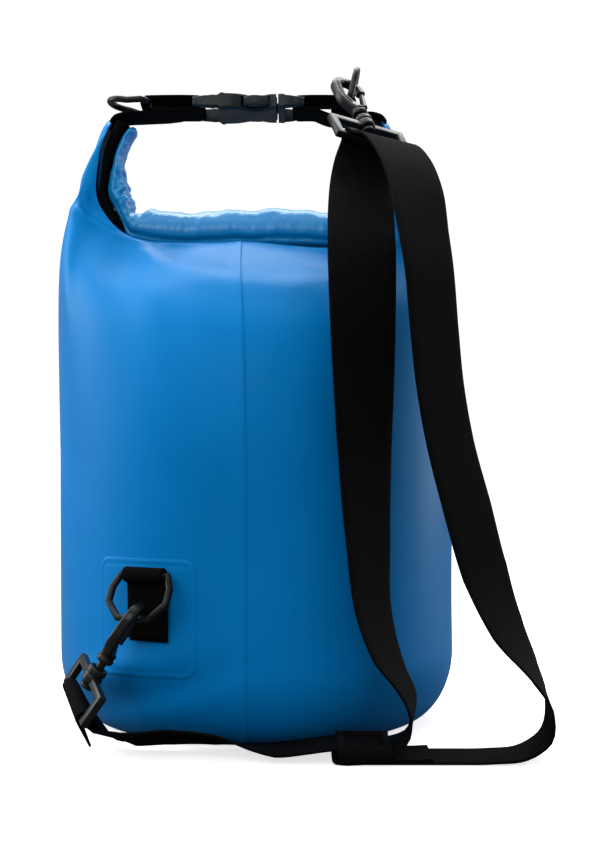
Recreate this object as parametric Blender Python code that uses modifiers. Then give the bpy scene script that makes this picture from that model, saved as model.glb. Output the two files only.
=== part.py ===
"""Roll-top dry bag with a side-release buckle handle and a clip-on shoulder strap.

Metres, +Z up, origin at the centre of the round base, the seam side towards -Y.
"""
import math

import bmesh
import bpy
from mathutils import Matrix, Vector

# ---------------------------------------------------------------- driving dimensions
BAG_RADIUS = 0.120
BASE_RADIUS = 0.088          # flat part that rests on the floor
BASE_ROUND_HEIGHT = 0.045    # height of the rounded bottom edge
FABRIC = 0.0012
GAP = 0.0004                 # clearance between touching pieces
WALL_STRAIGHT_TOP = 0.160    # the tube is round up to here
AROUND = 60                  # steps around the tube

ROLL_THICK = 0.013           # the rolled mouth, layer on layer
ROLL_HALF_WIDTH = 0.018
TIP_HALF_WIDTH = 0.0138
MOUTH_SHIFT = -0.0065        # the rolled mouth sits a little to the left
ROLL_SINK = 0.0075           # between its horns the roll reaches down into the neck
ROLL_RISE = 0.0048
RIM_SPREAD = 0.0077          # there the tube's edge stands clear of the roll
RIM_DROP = 0.0022
# half of the line that the rolled mouth follows: sideways from its middle, and up
MOUTH_LINE = [(0.000, 0.3005), (0.022, 0.3000), (0.044, 0.3000), (0.060, 0.3015), (0.071, 0.3065),
              (0.0785, 0.3160), (0.0815, 0.3280), (0.0815, 0.3410), (0.0790, 0.3540), (0.0755, 0.3650)]

WEB_THICK = 0.0014
HANDLE_WEB = 0.025           # width of the handle webbing
HANDLE_CENTRE = Vector((-0.0055, 0.0, 0.3750))
HANDLE_TILT = math.radians(-7.0)
BUCKLE_HALF = 0.034
SOCKET_END = 0.0170
SOCKET_HALF_WIDTH = 0.0165
SOCKET_THICK = 0.0100
BAR_RADIUS = 0.0022
RING_WIRE = 0.0021
RING_BAR_X = 0.0615          # the rings' straight bars, either side of the buckle
RING_HALF_WIDTH = 0.0166
RING_DEPTH = 0.0245
LEFT_RING_LIFT = math.radians(10.0)
RIGHT_RING_LIFT = math.radians(77.5)

STRAP_WIDTH = 0.038
STRAP_THICK = 0.0014
STRAP_STEP = 0.019
HOOK_WIRE = 0.0031
HOOK_HALF_WIDTH = 0.0085
HOOK_ARC_HEIGHT = 0.0265
FRAME_HALF_WIDTH = 0.0232
FRAME_TOP = -0.0130
FRAME_BOTTOM = -0.0285

PATCH_ANGLE = math.radians(-28.0)
PATCH_HEIGHT = 0.085
LOWER_RING_TILT = math.radians(27.0)

UPPER_HOOK_AT = Vector((0.0620, -0.0274, 0.3658))
UPPER_HOOK_AXIS = Vector((-0.2755, 0.766, 0.775)).normalized()
UPPER_SPIN = math.radians(40.0)
UPPER_SWIVEL = math.radians(40.0)
LOWER_HOOK_AXIS = Vector((0.56, -0.12, 0.82)).normalized()
LOWER_HOOK_BACK = Vector((math.sin(math.radians(-14.0)), -math.cos(math.radians(-14.0)), 0.0))
LOWER_HOOK_REACH = 0.0275    # from the hook's collar up to the ring's bar
LOWER_SWIVEL = math.radians(38.41)

SLIDER_AT = Vector((0.0600, -0.1270, 0.0))

# the free webbing's route: each place, then the way across its width
BAND_IN_FRONT = [
    ((-0.0805, -0.1145, 0.0110), (-0.05, 0.99, -0.10)),
    ((-0.0700, -0.1195, 0.0092), (0.05, 0.94, -0.33)),
    ((-0.0450, -0.1220, 0.0105), (0.03, 0.93, -0.36)),
    ((-0.0200, -0.1225, 0.0092), (0.00, 0.95, -0.30)),
    ((0.0000, -0.1228, 0.0055), (0.00, 0.99, -0.12)),
    ((0.0150, -0.1245, 0.0045), (0.00, 1.00, 0.00)),
    ((0.0310, -0.1265, 0.0066), (0.00, 1.00, 0.00)),
    ((0.0420, -0.1270, 0.0081), (0.00, 1.00, 0.00)),
    ((0.0600, -0.1270, 0.0081), (0.00, 1.00, 0.00)),
    ((0.0750, -0.1270, 0.0081), (0.00, 1.00, 0.00)),
]
LEFT_PLY = [
    ((0.0830, -0.1275, 0.0115), (0.05, 1.00, 0.00)),
    ((0.0865, -0.1275, 0.0210), (0.10, 0.99, 0.00)),
    ((0.0858, -0.1275, 0.0320), (0.20, 0.98, 0.00)),
    ((0.0800, -0.1270, 0.0430), (0.27, 0.96, 0.00)),
    ((0.0735, -0.1260, 0.0545), (0.41, 0.91, 0.00)),
    ((0.0665, -0.1250, 0.0765), (0.51, 0.86, 0.00)),
    ((0.0630, -0.1240, 0.1170), (0.64, 0.77, 0.00)),
    ((0.0612, -0.1240, 0.1625), (0.76, 0.65, 0.00)),
    ((0.0605, -0.1240, 0.2080), (0.88, 0.47, 0.00)),
    ((0.0600, -0.1210, 0.2460), (0.95, 0.30, 0.00)),
    ((0.0600, -0.1090, 0.2760), (0.98, 0.15, 0.00)),
    ((0.0605, -0.0870, 0.3015), (0.93, 0.28, 0.00)),
    ((0.0630, -0.0600, 0.3250), (0.88, 0.43, -0.08)),
]
RIGHT_PLY = [
    ((0.0775, -0.0605, 0.3455), (0.86, 0.50, -0.12)),
    ((0.0845, -0.0755, 0.3345), (0.83, 0.55, -0.06)),
    ((0.0905, -0.0920, 0.3150), (0.80, 0.60, 0.00)),
    ((0.0935, -0.1070, 0.2900), (0.76, 0.65, 0.00)),
    ((0.0965, -0.1170, 0.2650), (0.74, 0.67, 0.00)),
    ((0.0990, -0.1205, 0.2330), (0.73, 0.68, 0.00)),
    ((0.1020, -0.1220, 0.2020), (0.72, 0.69, 0.00)),
    ((0.1075, -0.1230, 0.1700), (0.72, 0.69, 0.00)),
    ((0.1165, -0.1245, 0.1350), (0.74, 0.67, 0.00)),
    ((0.1260, -0.1260, 0.1000), (0.70, 0.71, 0.10)),
    ((0.1380, -0.1275, 0.0700), (0.48, 0.84, 0.20)),
    ((0.1520, -0.1285, 0.0470), (0.20, 0.97, 0.10)),
    ((0.1600, -0.1290, 0.0290), (0.05, 1.00, 0.02)),
    ((0.1585, -0.1290, 0.0130), (0.00, 1.00, 0.00)),
    ((0.1470, -0.1280, 0.0040), (0.00, 1.00, 0.00)),
    ((0.1280, -0.1272, 0.0014), (0.00, 1.00, 0.00)),
    ((0.1080, -0.1270, 0.0011), (0.00, 1.00, 0.00)),
]

# ---------------------------------------------------------------- finishes: colour, roughness, metallic
FINISHES = {
    "tarpaulin": ((0.000, 0.165, 0.455), 0.38, 0.0),
    "tarpaulin_roll": ((0.030, 0.260, 0.600), 0.36, 0.0),
    "black_webbing": ((0.010, 0.010, 0.011), 0.80, 0.0),
    "strap_webbing": ((0.012, 0.012, 0.013), 0.85, 0.0),
    "buckle_plastic": ((0.020, 0.022, 0.026), 0.40, 0.0),
    "ring_plastic": ((0.016, 0.017, 0.019), 0.35, 0.0),
    "hook_plastic": ((0.022, 0.023, 0.026), 0.42, 0.0),
}


# ---------------------------------------------------------------- helpers
def clear_scene():
    for obj in list(bpy.data.objects):
        bpy.data.objects.remove(obj, do_unlink=True)


def finish(name):
    """The material of that name, made once."""
    found = bpy.data.materials.get(name)
    if found:
        return found
    colour, rough, metal = FINISHES[name]
    made = bpy.data.materials.new(name)
    made.use_nodes = True
    shader = made.node_tree.nodes["Principled BSDF"]
    shader.inputs["Base Color"].default_value = (*colour, 1.0)
    shader.inputs["Roughness"].default_value = rough
    shader.inputs["Metallic"].default_value = metal
    return made


def collection(name):
    made = bpy.data.collections.new(name)
    bpy.context.scene.collection.children.link(made)
    return made


clear_scene()
PARTS = collection("dry_bag")
CUTTERS = collection("cutters")


def part(name, data, material, matrix=None):
    """Put a mesh or curve in the parts collection as a named object."""
    obj = bpy.data.objects.new(name, data)
    PARTS.objects.link(obj)
    data.materials.clear()
    data.materials.append(finish(material))
    if matrix is not None:
        obj.matrix_world = matrix
    return obj


def mesh_of(builder, name, is_closed=True):
    """A mesh from a function that fills a bmesh; an open surface keeps its own facing."""
    bm = bmesh.new()
    builder(bm)
    if is_closed:
        bmesh.ops.recalc_face_normals(bm, faces=bm.faces[:])
    mesh = bpy.data.meshes.new(name)
    bm.to_mesh(mesh)
    bm.free()
    return mesh


def box_mesh(name, low, high):
    """A box between two corners."""
    low, high = Vector(low), Vector(high)
    place = Matrix.Translation((low + high) / 2) @ Matrix.Diagonal((*(high - low), 1.0))
    return mesh_of(lambda bm: bmesh.ops.create_cube(bm, size=1.0, matrix=place), name)


def rod_mesh(name, start, end, radius, sides=20):
    """A cylinder between two points."""
    start, end = Vector(start), Vector(end)
    way = end - start
    turn = way.to_track_quat("Z", "Y").to_matrix().to_4x4()
    place = Matrix.Translation((start + end) / 2) @ turn
    return mesh_of(
        lambda bm: bmesh.ops.create_cone(
            bm, cap_ends=True, segments=sides, radius1=radius, radius2=radius,
            depth=way.length, matrix=place),
        name)


def loft_mesh(name, rings, closed=False):
    """Skin between rings of points; ends are capped unless the loft closes on itself."""
    def fill(bm):
        rows = [[bm.verts.new(p) for p in ring] for ring in rings]
        count = len(rings[0])
        pairs = list(zip(rows, rows[1:])) + ([(rows[-1], rows[0])] if closed else [])
        for low, high in pairs:
            for i in range(count):
                j = (i + 1) % count
                bm.faces.new((low[i], low[j], high[j], high[i]))
        if not closed:
            bm.faces.new(rows[0])
            bm.faces.new(rows[-1])
    return mesh_of(fill, name)


def tube(name, points, radius, material, cyclic=False, radii=None, matrix=None, sides=3):
    """A round bar along points, as a curve with filled caps."""
    curve = bpy.data.curves.new(name, "CURVE")
    curve.dimensions = "3D"
    curve.bevel_depth = radius
    curve.bevel_resolution = sides
    curve.use_fill_caps = True
    spline = curve.splines.new("POLY")
    spline.points.add(len(points) - 1)
    for i, place in enumerate(points):
        spline.points[i].co = (*place, 1.0)
        spline.points[i].radius = radii[i] / radius if radii else 1.0
    spline.use_cyclic_u = cyclic
    return part(name, curve, material, matrix)


def to_mesh(obj):
    """The same object as a mesh with welded caps."""
    graph = bpy.context.evaluated_depsgraph_get()
    graph.update()
    mesh = bpy.data.meshes.new_from_object(obj.evaluated_get(graph))
    bm = bmesh.new()
    bm.from_mesh(mesh)
    bmesh.ops.remove_doubles(bm, verts=bm.verts[:], dist=0.00001)
    bmesh.ops.recalc_face_normals(bm, faces=bm.faces[:])
    bm.to_mesh(mesh)
    bm.free()
    name = obj.name
    world = obj.matrix_world.copy()
    material = obj.data.materials[0].name
    bpy.data.objects.remove(obj, do_unlink=True)
    return part(name, mesh, material, world)


def boolean(obj, operation, mesh):
    """Cut the object by a mesh, or join the mesh to it."""
    tool = bpy.data.objects.new(obj.name + "_tool", mesh)
    CUTTERS.objects.link(tool)
    tool.matrix_world = obj.matrix_world
    tool.hide_render = True
    tool.display_type = "WIRE"
    change = obj.modifiers.new(operation.lower(), "BOOLEAN")
    change.operation = operation
    change.object = tool
    change.solver = "EXACT"


def smooth_line(points, count):
    """Points at even steps on a smooth curve through the given points."""
    def at(i):
        return points[min(max(i, 0), len(points) - 1)]
    dense = []
    for i in range(len(points) - 1):
        a, b, c, d = at(i - 1), at(i), at(i + 1), at(i + 2)
        for k in range(24):
            t = k / 24
            dense.append(0.5 * (2 * b + (c - a) * t + (2 * a - 5 * b + 4 * c - d) * t * t
                                + (3 * b - a - 3 * c + d) * t ** 3))
    dense.append(points[-1])
    reach = [0.0]
    for p, q in zip(dense, dense[1:]):
        reach.append(reach[-1] + (q - p).length)
    line, at_step = [], 0
    for i in range(count):
        want = reach[-1] * i / (count - 1)
        while at_step < len(dense) - 2 and reach[at_step + 1] < want:
            at_step += 1
        span = reach[at_step + 1] - reach[at_step] or 1.0
        line.append(dense[at_step].lerp(dense[at_step + 1], (want - reach[at_step]) / span))
    return line


# ---------------------------------------------------------------- the mouth line
def mouth_frames(count):
    """Places along the rolled mouth: each with the way to the handle, width, and 1 between horns."""
    half = [Vector((x, 0.0, z)) for x, z in MOUTH_LINE]
    left = [Vector((-p.x, 0.0, p.z)) for p in reversed(half)]
    line = smooth_line(left + half[1:], count)
    frames = []
    for i, place in enumerate(line):
        way = (line[min(i + 1, count - 1)] - line[max(i - 1, 0)]).normalized()
        inward = Vector((-way.z, 0.0, way.x))
        share = abs(2 * i / (count - 1) - 1)
        narrowing = max(0.0, (share - 0.55) / 0.45)
        width = ROLL_HALF_WIDTH + (TIP_HALF_WIDTH - ROLL_HALF_WIDTH) * narrowing
        flat = min(1.0, max(0.0, (0.62 - share) / 0.12))
        frames.append((place + Vector((MOUTH_SHIFT, 0, 0)), inward, width, flat))
    return frames


def band_ring(place, inward, half_width, low, high, corner):
    """A rounded rectangle across the mouth line, from low to high along the inward way."""
    outline = []
    for side, edge in ((1, low), (1, high), (-1, high), (-1, low)):
        step = corner if edge == low else -corner
        first = place + inward * (edge + step) + Vector((0, side * half_width, 0))
        second = place + inward * edge + Vector((0, side * (half_width - corner), 0))
        pair = (second, first) if (side > 0) == (edge == low) else (first, second)
        outline.extend(pair)
    return outline


# ---------------------------------------------------------------- bag
def bag_point(angle, row, rim, rows):
    """A point of the tube wall: angle from the front, row from the base to the rim."""
    base_rows, wall_rows = rows
    out = Vector((math.sin(angle), -math.cos(angle), 0.0))
    if row <= base_rows:
        turn = math.pi / 2 * row / base_rows
        radius = BASE_RADIUS + (BAG_RADIUS - BASE_RADIUS) * math.sin(turn)
        return out * radius + Vector((0, 0, BASE_ROUND_HEIGHT * (1 - math.cos(turn))))
    start = out * BAG_RADIUS + Vector((0, 0, BASE_ROUND_HEIGHT))
    knee = out * BAG_RADIUS + Vector((0, 0, WALL_STRAIGHT_TOP))
    step = row - base_rows
    if step <= 2:
        return start.lerp(knee, step / 2)
    t = (step - 2) / (wall_rows - 2)
    side = abs(math.sin(angle)) ** 3
    lean_front = Vector((0, 0.94 if out.y < 0 else -0.94, 0.34))
    lean_side = Vector((-0.56 if out.x > 0 else 0.56, 0, 0.83))
    arrive = lean_front.lerp(lean_side, side).normalized()
    first = knee + Vector((0, 0, 0.090 + 0.010 * side)) + out * 0.002 * side
    second = rim - arrive * (0.072 - 0.020 * side)
    return (knee * (1 - t) ** 3 + first * 3 * t * (1 - t) ** 2
            + second * 3 * t * t * (1 - t) + rim * t ** 3)


def rim_points():
    """The top edge of the tube, lying under the rolled mouth."""
    frames = mouth_frames(AROUND // 2 + 1)
    below = ROLL_THICK / 2 + FABRIC + 3 * GAP
    ends = []
    for i, (place, inward, width, flat) in enumerate(frames):
        across = 0.0 if i in (0, AROUND // 2) else width - 0.001 + RIM_SPREAD * flat
        ends.append((place - inward * (below + RIM_DROP * flat), across))
    front = [place - Vector((0, across, 0)) for place, across in ends]
    back = [place + Vector((0, across, 0)) for place, across in ends]
    return front + back[-2:0:-1]


def make_bag():
    rim = rim_points()
    rows = (4, 11)
    rings = []
    for row in range(sum(rows) + 1):
        angles = [math.radians(-90 + 360 * i / AROUND) for i in range(AROUND)]
        rings.append([bag_point(a, row, rim[i], rows) for i, a in enumerate(angles)])

    def fill(bm):
        grid = [[bm.verts.new(p) for p in ring] for ring in rings]
        for low, high in zip(grid, grid[1:]):
            for i in range(AROUND):
                j = (i + 1) % AROUND
                bm.faces.new((low[i], low[j], high[j], high[i]))

    shell = part("bag_shell", mesh_of(fill, "bag_shell", is_closed=False), "tarpaulin")
    wall = shell.modifiers.new("wall", "SOLIDIFY")
    wall.thickness = FABRIC
    wall.offset = -1.0

    disc = rod_mesh("base_disc", (0, 0, 0), (0, 0, FABRIC), BASE_RADIUS - 3 * GAP, 64)
    part("base_disc", disc, "tarpaulin")


def make_rolled_mouth():
    frames = mouth_frames(AROUND // 2 + 1)
    half = ROLL_THICK / 2
    strip = 0.0012
    roll = [band_ring(p, n, w, -half + strip + GAP - ROLL_SINK * flat, half + ROLL_RISE * flat, 0.003)
            for p, n, w, flat in frames[1:-1]]
    part("rolled_mouth", loft_mesh("rolled_mouth", roll), "tarpaulin_roll")
    edge = [band_ring(p, n, w - 0.0006, -half - ROLL_SINK * flat, -half + strip - ROLL_SINK * flat,
                      0.0003) for p, n, w, flat in frames]
    part("mouth_stiffener", loft_mesh("mouth_stiffener", edge), "black_webbing")


# ---------------------------------------------------------------- handle
HANDLE = Matrix.Translation(HANDLE_CENTRE) @ Matrix.Rotation(HANDLE_TILT, 4, "X")


def web_loop(side, inner):
    """Webbing folded round the buckle bar and the ring bar, with a tail to the horn tip."""
    near, far = BUCKLE_HALF - 0.0028, RING_BAR_X
    outer = inner + WEB_THICK

    def stadium(radius):
        points = []
        for centre, start in ((far, -90), (near, 90)):
            for k in range(9):
                turn = math.radians(start + 180 * k / 8)
                points.append((centre + radius * math.cos(turn), radius * math.sin(turn)))
        return points

    rings = []
    for (ox, oz), (ix, iz) in zip(stadium(outer), stadium(inner)):
        half = HANDLE_WEB / 2
        rings.append([Vector((side * ox, -half, oz)), Vector((side * ox, half, oz)),
                      Vector((side * ix, half, iz)), Vector((side * ix, -half, iz))])
    return loft_mesh("handle_webbing", rings, closed=True)


def web_tail(side, inner):
    """The lower ply, run on from the loop down to the horn tip."""
    outer = inner + WEB_THICK
    points = [(RING_BAR_X - 0.004, -outer), (RING_BAR_X + 0.003, -outer - 0.0004),
              (RING_BAR_X + 0.0085, -outer - 0.0022)]
    rings = []
    for x, z in points:
        half = HANDLE_WEB / 2 - 0.0002
        rings.append([Vector((side * x, -half, z)), Vector((side * x, half, z)),
                      Vector((side * x, half, z + WEB_THICK)),
                      Vector((side * x, -half, z + WEB_THICK))])
    return loft_mesh("tail", rings)


def ring_outline(half_width, depth):
    """A D: a straight bar and a rounded bow, in the plane of its bar (Y) and its depth (X)."""
    corner = 0.004
    points = [Vector((0, -half_width + corner, 0)), Vector((0, half_width - corner, 0))]
    for k in range(1, 4):
        turn = math.radians(90 - 30 * k)
        points.append(Vector((corner - corner * math.sin(turn),
                              half_width - corner + corner * math.cos(turn), 0)))
    bow = 0.011
    for k in range(13):
        turn = math.radians(90 - 180 * k / 12)
        wide = half_width * 0.62
        points.append(Vector((depth - bow + bow * math.cos(turn), wide * math.sin(turn), 0)))
    for k in range(3, 0, -1):
        turn = math.radians(90 - 30 * k)
        points.append(Vector((corner - corner * math.sin(turn),
                              -half_width + corner - corner * math.cos(turn), 0)))
    return points


def make_handle():
    inner = BAR_RADIUS + 0.0009
    for side, name in ((-1, "left"), (1, "right")):
        loop = part(f"handle_webbing_{name}", web_loop(side, inner), "black_webbing", HANDLE)
        boolean(loop, "UNION", web_tail(side, inner))
    outline = ring_outline(RING_HALF_WIDTH, RING_DEPTH)
    for side, name, lift in ((-1, "left", LEFT_RING_LIFT), (1, "right", RIGHT_RING_LIFT)):
        turn = Matrix.Rotation(math.pi, 4, "Z") if side < 0 else Matrix.Identity(4)
        place = Matrix.Translation((side * RING_BAR_X, 0, 0)) @ turn @ Matrix.Rotation(-lift, 4, "Y")
        tube(f"d_ring_{name}", outline, RING_WIRE, "ring_plastic", cyclic=True,
             matrix=HANDLE @ place)
    make_buckle()


def cut_web_slot(obj, side, start):
    """Leave one slim bar for the webbing at the end of a buckle half."""
    slot = HANDLE_WEB / 2 + 0.0006
    middle = BUCKLE_HALF - 0.0028
    inner, outer, top = middle - 0.0018, middle + 0.0018, 0.0019
    for low, high, floor, roof in ((abs(start), inner, -0.02, 0.02), (outer, 0.05, -0.02, 0.02),
                                   (inner - 0.001, outer + 0.001, top, 0.02),
                                   (inner - 0.001, outer + 0.001, -0.02, -top)):
        ends = sorted((side * low, side * high))
        boolean(obj, "DIFFERENCE",
                box_mesh("web_slot", (ends[0], -slot, floor), (ends[1], slot, roof)))


def make_buckle():
    """Socket on the left, fork on the right; the fork's two prongs bend inwards."""
    half, wide = SOCKET_THICK / 2, SOCKET_HALF_WIDTH
    back = -SOCKET_END
    socket = part("buckle_socket",
                  box_mesh("buckle_socket", (-BUCKLE_HALF, -wide, -half), (SOCKET_END, wide, half)),
                  "buckle_plastic", HANDLE)
    cut_web_slot(socket, -1, -SOCKET_END - 0.0012)
    inside = half - 0.0016
    boolean(socket, "DIFFERENCE",
            box_mesh("cavity", (back + 0.0030, -wide + 0.0020, -inside), (0.05, wide - 0.0020, inside)))
    window_low, window_high = SOCKET_END - 0.0215, SOCKET_END - 0.0035
    boolean(socket, "DIFFERENCE",
            box_mesh("side_windows", (window_low, -0.03, -inside), (window_high, 0.03, inside)))

    root = SOCKET_END + 0.0012
    fork = part("buckle_fork",
                box_mesh("buckle_fork", (root, -wide + 0.0005, -half + 0.0005),
                         (BUCKLE_HALF, wide - 0.0005, half - 0.0005)),
                "buckle_plastic", HANDLE)
    cut_web_slot(fork, 1, root + 0.0042)
    boolean(fork, "UNION",
            box_mesh("tongue", (-0.0120, -0.0030, -inside + GAP), (root + 0.001, 0.0030, inside - GAP)))

    for side, name in ((-1, "front"), (1, "rear")):
        outline = [(root - 0.0006, 0.0139), (root - 0.0006, 0.0110), (0.0080, 0.0105),
                   (0.0000, 0.0095), (-0.0030, 0.0100), (-0.0030, 0.0150), (0.0008, 0.0172),
                   (0.0060, 0.0176), (0.0118, 0.0160), (0.0127, 0.0139)]
        make_prong(name, side, outline, inside - GAP)


def make_prong(name, side, outline, half):
    """A prong: its root by the fork and a rounded button that fills the socket's side window."""
    curve = bpy.data.curves.new(f"buckle_prong_{name}", "CURVE")
    curve.dimensions = "2D"
    curve.fill_mode = "BOTH"
    curve.extrude = half
    spline = curve.splines.new("POLY")
    spline.points.add(len(outline) - 1)
    root_x, root_y = outline[0][0], side * 0.0130
    for i, (x, y) in enumerate(outline):
        spline.points[i].co = (x - root_x, side * y - root_y, 0, 1)
    spline.use_cyclic_u = True
    place = HANDLE @ Matrix.Translation((root_x, root_y, 0))
    to_mesh(part(f"buckle_prong_{name}", curve, "buckle_plastic", place))


# ---------------------------------------------------------------- hooks
def hook_frame(at, axis, facing):
    """Axes of a hook: its length (X), sideways towards the gate (Y), and out of its face (Z)."""
    face = (facing - axis * facing.dot(axis)).normalized()
    side = face.cross(axis)
    rows = Matrix((axis, side, face)).transposed().to_4x4()
    return Matrix.Translation(at) @ rows


def hook_path():
    """Stem, collar, spine, bow and nose of a snap hook, with the bar's radius at each point."""
    path = [(-0.0190, 0, 0.0040), (-0.0172, 0, 0.0040), (-0.0168, 0, 0.0024),
            (-0.0015, 0, 0.0024), (-0.0010, 0, 0.0046), (0.0035, 0, 0.0050),
            (0.0065, -0.0020, 0.0042), (0.0095, -0.0055, 0.0034), (0.0135, -0.0080, HOOK_WIRE)]
    wide, top = HOOK_HALF_WIDTH, HOOK_ARC_HEIGHT
    path.append((0.0200, -wide, HOOK_WIRE))
    for k in range(11):
        turn = math.radians(180 - 18 * k)
        path.append((top + wide * math.sin(turn), wide * math.cos(turn), 0.0027))
    path.append((top - 0.0020, wide, 0.0026))
    return path


def make_hook(prefix, unturned, spin, swivel):
    """A snap hook turned by spin about its stem, in a strap frame turned by swivel."""
    place = unturned @ Matrix.Rotation(spin, 4, "X")
    path = hook_path()
    tube(f"{prefix}_hook", [Vector((x, y, 0)) for x, y, _ in path], HOOK_WIRE, "hook_plastic",
         radii=[r for _, _, r in path], matrix=place)
    low, high = Vector((0.0098, 0.0062, 0)), Vector((HOOK_ARC_HEIGHT - 0.0026, HOOK_HALF_WIDTH, 0))
    hinge = place @ Matrix.Translation(low)
    tube(f"{prefix}_gate", [Vector(), (high - low) * 0.5, high - low], 0.0018, "hook_plastic",
         radii=[0.0021, 0.0019, 0.0017], matrix=hinge)

    turned = unturned @ Matrix.Rotation(swivel, 4, "X")
    wide = FRAME_HALF_WIDTH
    cut = 0.002
    corners = [(FRAME_TOP, -wide + cut), (FRAME_TOP, wide - cut), (FRAME_TOP - cut, wide),
               (FRAME_BOTTOM + cut, wide), (FRAME_BOTTOM, wide - cut),
               (FRAME_BOTTOM, -wide + cut), (FRAME_BOTTOM + cut, -wide),
               (FRAME_TOP - cut, -wide)]
    frame = to_mesh(tube(f"{prefix}_strap_frame", [Vector((x, y, 0)) for x, y in corners], 0.0021,
                         "hook_plastic", cyclic=True, matrix=turned))
    boolean(frame, "UNION",
            rod_mesh("collar", (FRAME_TOP - 0.0022, 0, 0), (-0.0060, 0, 0), 0.0052, 16))
    boolean(frame, "DIFFERENCE", rod_mesh("bore", (-0.03, 0, 0), (0.01, 0, 0), 0.0030, 16))


# ---------------------------------------------------------------- lower patch and ring
PATCH = (Matrix.Rotation(PATCH_ANGLE, 4, "Z") @ Matrix.Translation((0, -BAG_RADIUS, PATCH_HEIGHT))
         @ Matrix.Rotation(math.pi / 2, 4, "X"))


def curved_plate(name, half_width, low, high, near, far, material):
    """A plate wrapped on the bag wall: from near to far off the wall, low to high."""
    rings = []
    for k in range(9):
        across = half_width * (2 * k / 8 - 1)
        angle = PATCH_ANGLE + across / BAG_RADIUS
        out = Vector((math.sin(angle), -math.cos(angle), 0))
        rings.append([out * (BAG_RADIUS + near) + Vector((0, 0, low)),
                      out * (BAG_RADIUS + far) + Vector((0, 0, low)),
                      out * (BAG_RADIUS + far) + Vector((0, 0, high)),
                      out * (BAG_RADIUS + near) + Vector((0, 0, high))])
    return part(name, loft_mesh(name, rings), material)


LOWER_BAR = Vector((0, 0.0125, 0.0062))      # from the patch's middle
TAB_HALF = 0.0125


def make_lower_ring():
    curved_plate("ring_patch", 0.034, 0.053, 0.117, GAP, 0.0014, "tarpaulin")
    tab = curved_plate("ring_tab", TAB_HALF, 0.0665, 0.104, 0.0018, 0.0032, "black_webbing")
    radius = RING_WIRE + 0.0006
    outer = radius + WEB_THICK
    rings = []
    for k in range(16):
        turn = 2 * math.pi * k / 16
        c, s = math.cos(turn), math.sin(turn)
        corners = ((-TAB_HALF, outer), (TAB_HALF, outer), (TAB_HALF, radius), (-TAB_HALF, radius))
        rings.append([PATCH @ (LOWER_BAR + Vector((x, r * c, r * s))) for x, r in corners])
    boolean(tab, "UNION", loft_mesh("fold", rings, closed=True))
    outline = [(-0.0150, 0), (0.0150, 0), (0.0185, -0.0080), (0.0185, -0.0165), (0.0100, -0.0255),
               (-0.0100, -0.0255), (-0.0185, -0.0165), (-0.0185, -0.0080)]
    place = PATCH @ Matrix.Translation(LOWER_BAR) @ Matrix.Rotation(-LOWER_RING_TILT, 4, "X")
    tube("d_ring_lower", [Vector((x, y, 0)) for x, y in outline], RING_WIRE, "ring_plastic",
         cyclic=True, matrix=place)
    return place @ Vector((0, -0.0255, 0))


# ---------------------------------------------------------------- shoulder strap
def flat_band(name, stations, width, thick, material):
    """Webbing along stations of (place, way across the width), as one closed solid."""
    count = len(stations)
    rings = []
    for i, (place, across) in enumerate(stations):
        way = (stations[min(i + 1, count - 1)][0] - stations[max(i - 1, 0)][0]).normalized()
        across = (across - way * across.dot(way)).normalized()
        up = way.cross(across)
        side, rise = across * width / 2, up * thick / 2
        rings.append([place - side - rise, place + side - rise, place + side + rise,
                      place - side + rise])
    return part(name, loft_mesh(name, rings), material)


def strap_route(upper, lower):
    """Hand-set route of the webbing: places with the way across its width, lower hook to slider."""
    low_bar, low_along = lower @ Vector((FRAME_BOTTOM, 0, 0)), lower.to_3x3().col[1]
    high_bar, high_along = upper @ Vector((FRAME_BOTTOM, 0, 0)), upper.to_3x3().col[1]
    leaving = Vector((0.45, -0.05, -0.89))
    leaving = (leaving - low_along * leaving.dot(low_along)).normalized()
    turned = low_along.cross(leaving)
    reach = BAR_RADIUS + GAP + STRAP_THICK / 2 + 0.0004
    route = [(low_bar + turned * reach + leaving * 0.018, low_along),
             (low_bar + turned * reach + leaving * 0.006, low_along)]
    for k in range(7):
        angle = math.radians(180 * k / 6)
        route.append((low_bar + (turned * math.cos(angle) - leaving * math.sin(angle)) * reach,
                      low_along))
    route += [(low_bar - turned * reach + leaving * 0.007, low_along),
              (low_bar - turned * reach + leaving * 0.014, low_along)]
    route += [(Vector(p), Vector(w)) for p, w in BAND_IN_FRONT + LEFT_PLY]
    outward = Vector((high_along.y, -high_along.x, 0)).normalized()
    top = outward.cross(high_along)
    for angle in (209, 190, 160, 130, 100, 70, 45):
        turn = math.radians(angle)
        route.append((high_bar + (outward * math.cos(turn) + top * math.sin(turn)) * reach,
                      high_along))
    route += [(Vector(p), Vector(w)) for p, w in RIGHT_PLY]
    flat, loop_x, middle = Vector((0, 1, 0)), SLIDER_AT.x - 0.0140, 0.0037
    low_ply, high_ply = 0.0011, 0.0063
    y = SLIDER_AT.y
    route += [(Vector((x, y, low_ply)), flat)
              for x in (SLIDER_AT.x + 0.030, SLIDER_AT.x + 0.014, SLIDER_AT.x, loop_x)]
    for k in range(1, 6):
        turn = math.radians(-90 - 30 * k)
        route.append((Vector((loop_x + 0.0026 * math.cos(turn), y, middle + 0.0026 * math.sin(turn))),
                      flat))
    route += [(Vector((loop_x + x, y, z)), flat) for x, z in
              ((0.0, high_ply), (0.0150, high_ply), (0.0190, high_ply), (0.0310, 0.0030),
               (0.0500, 0.0030))]
    return route


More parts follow.
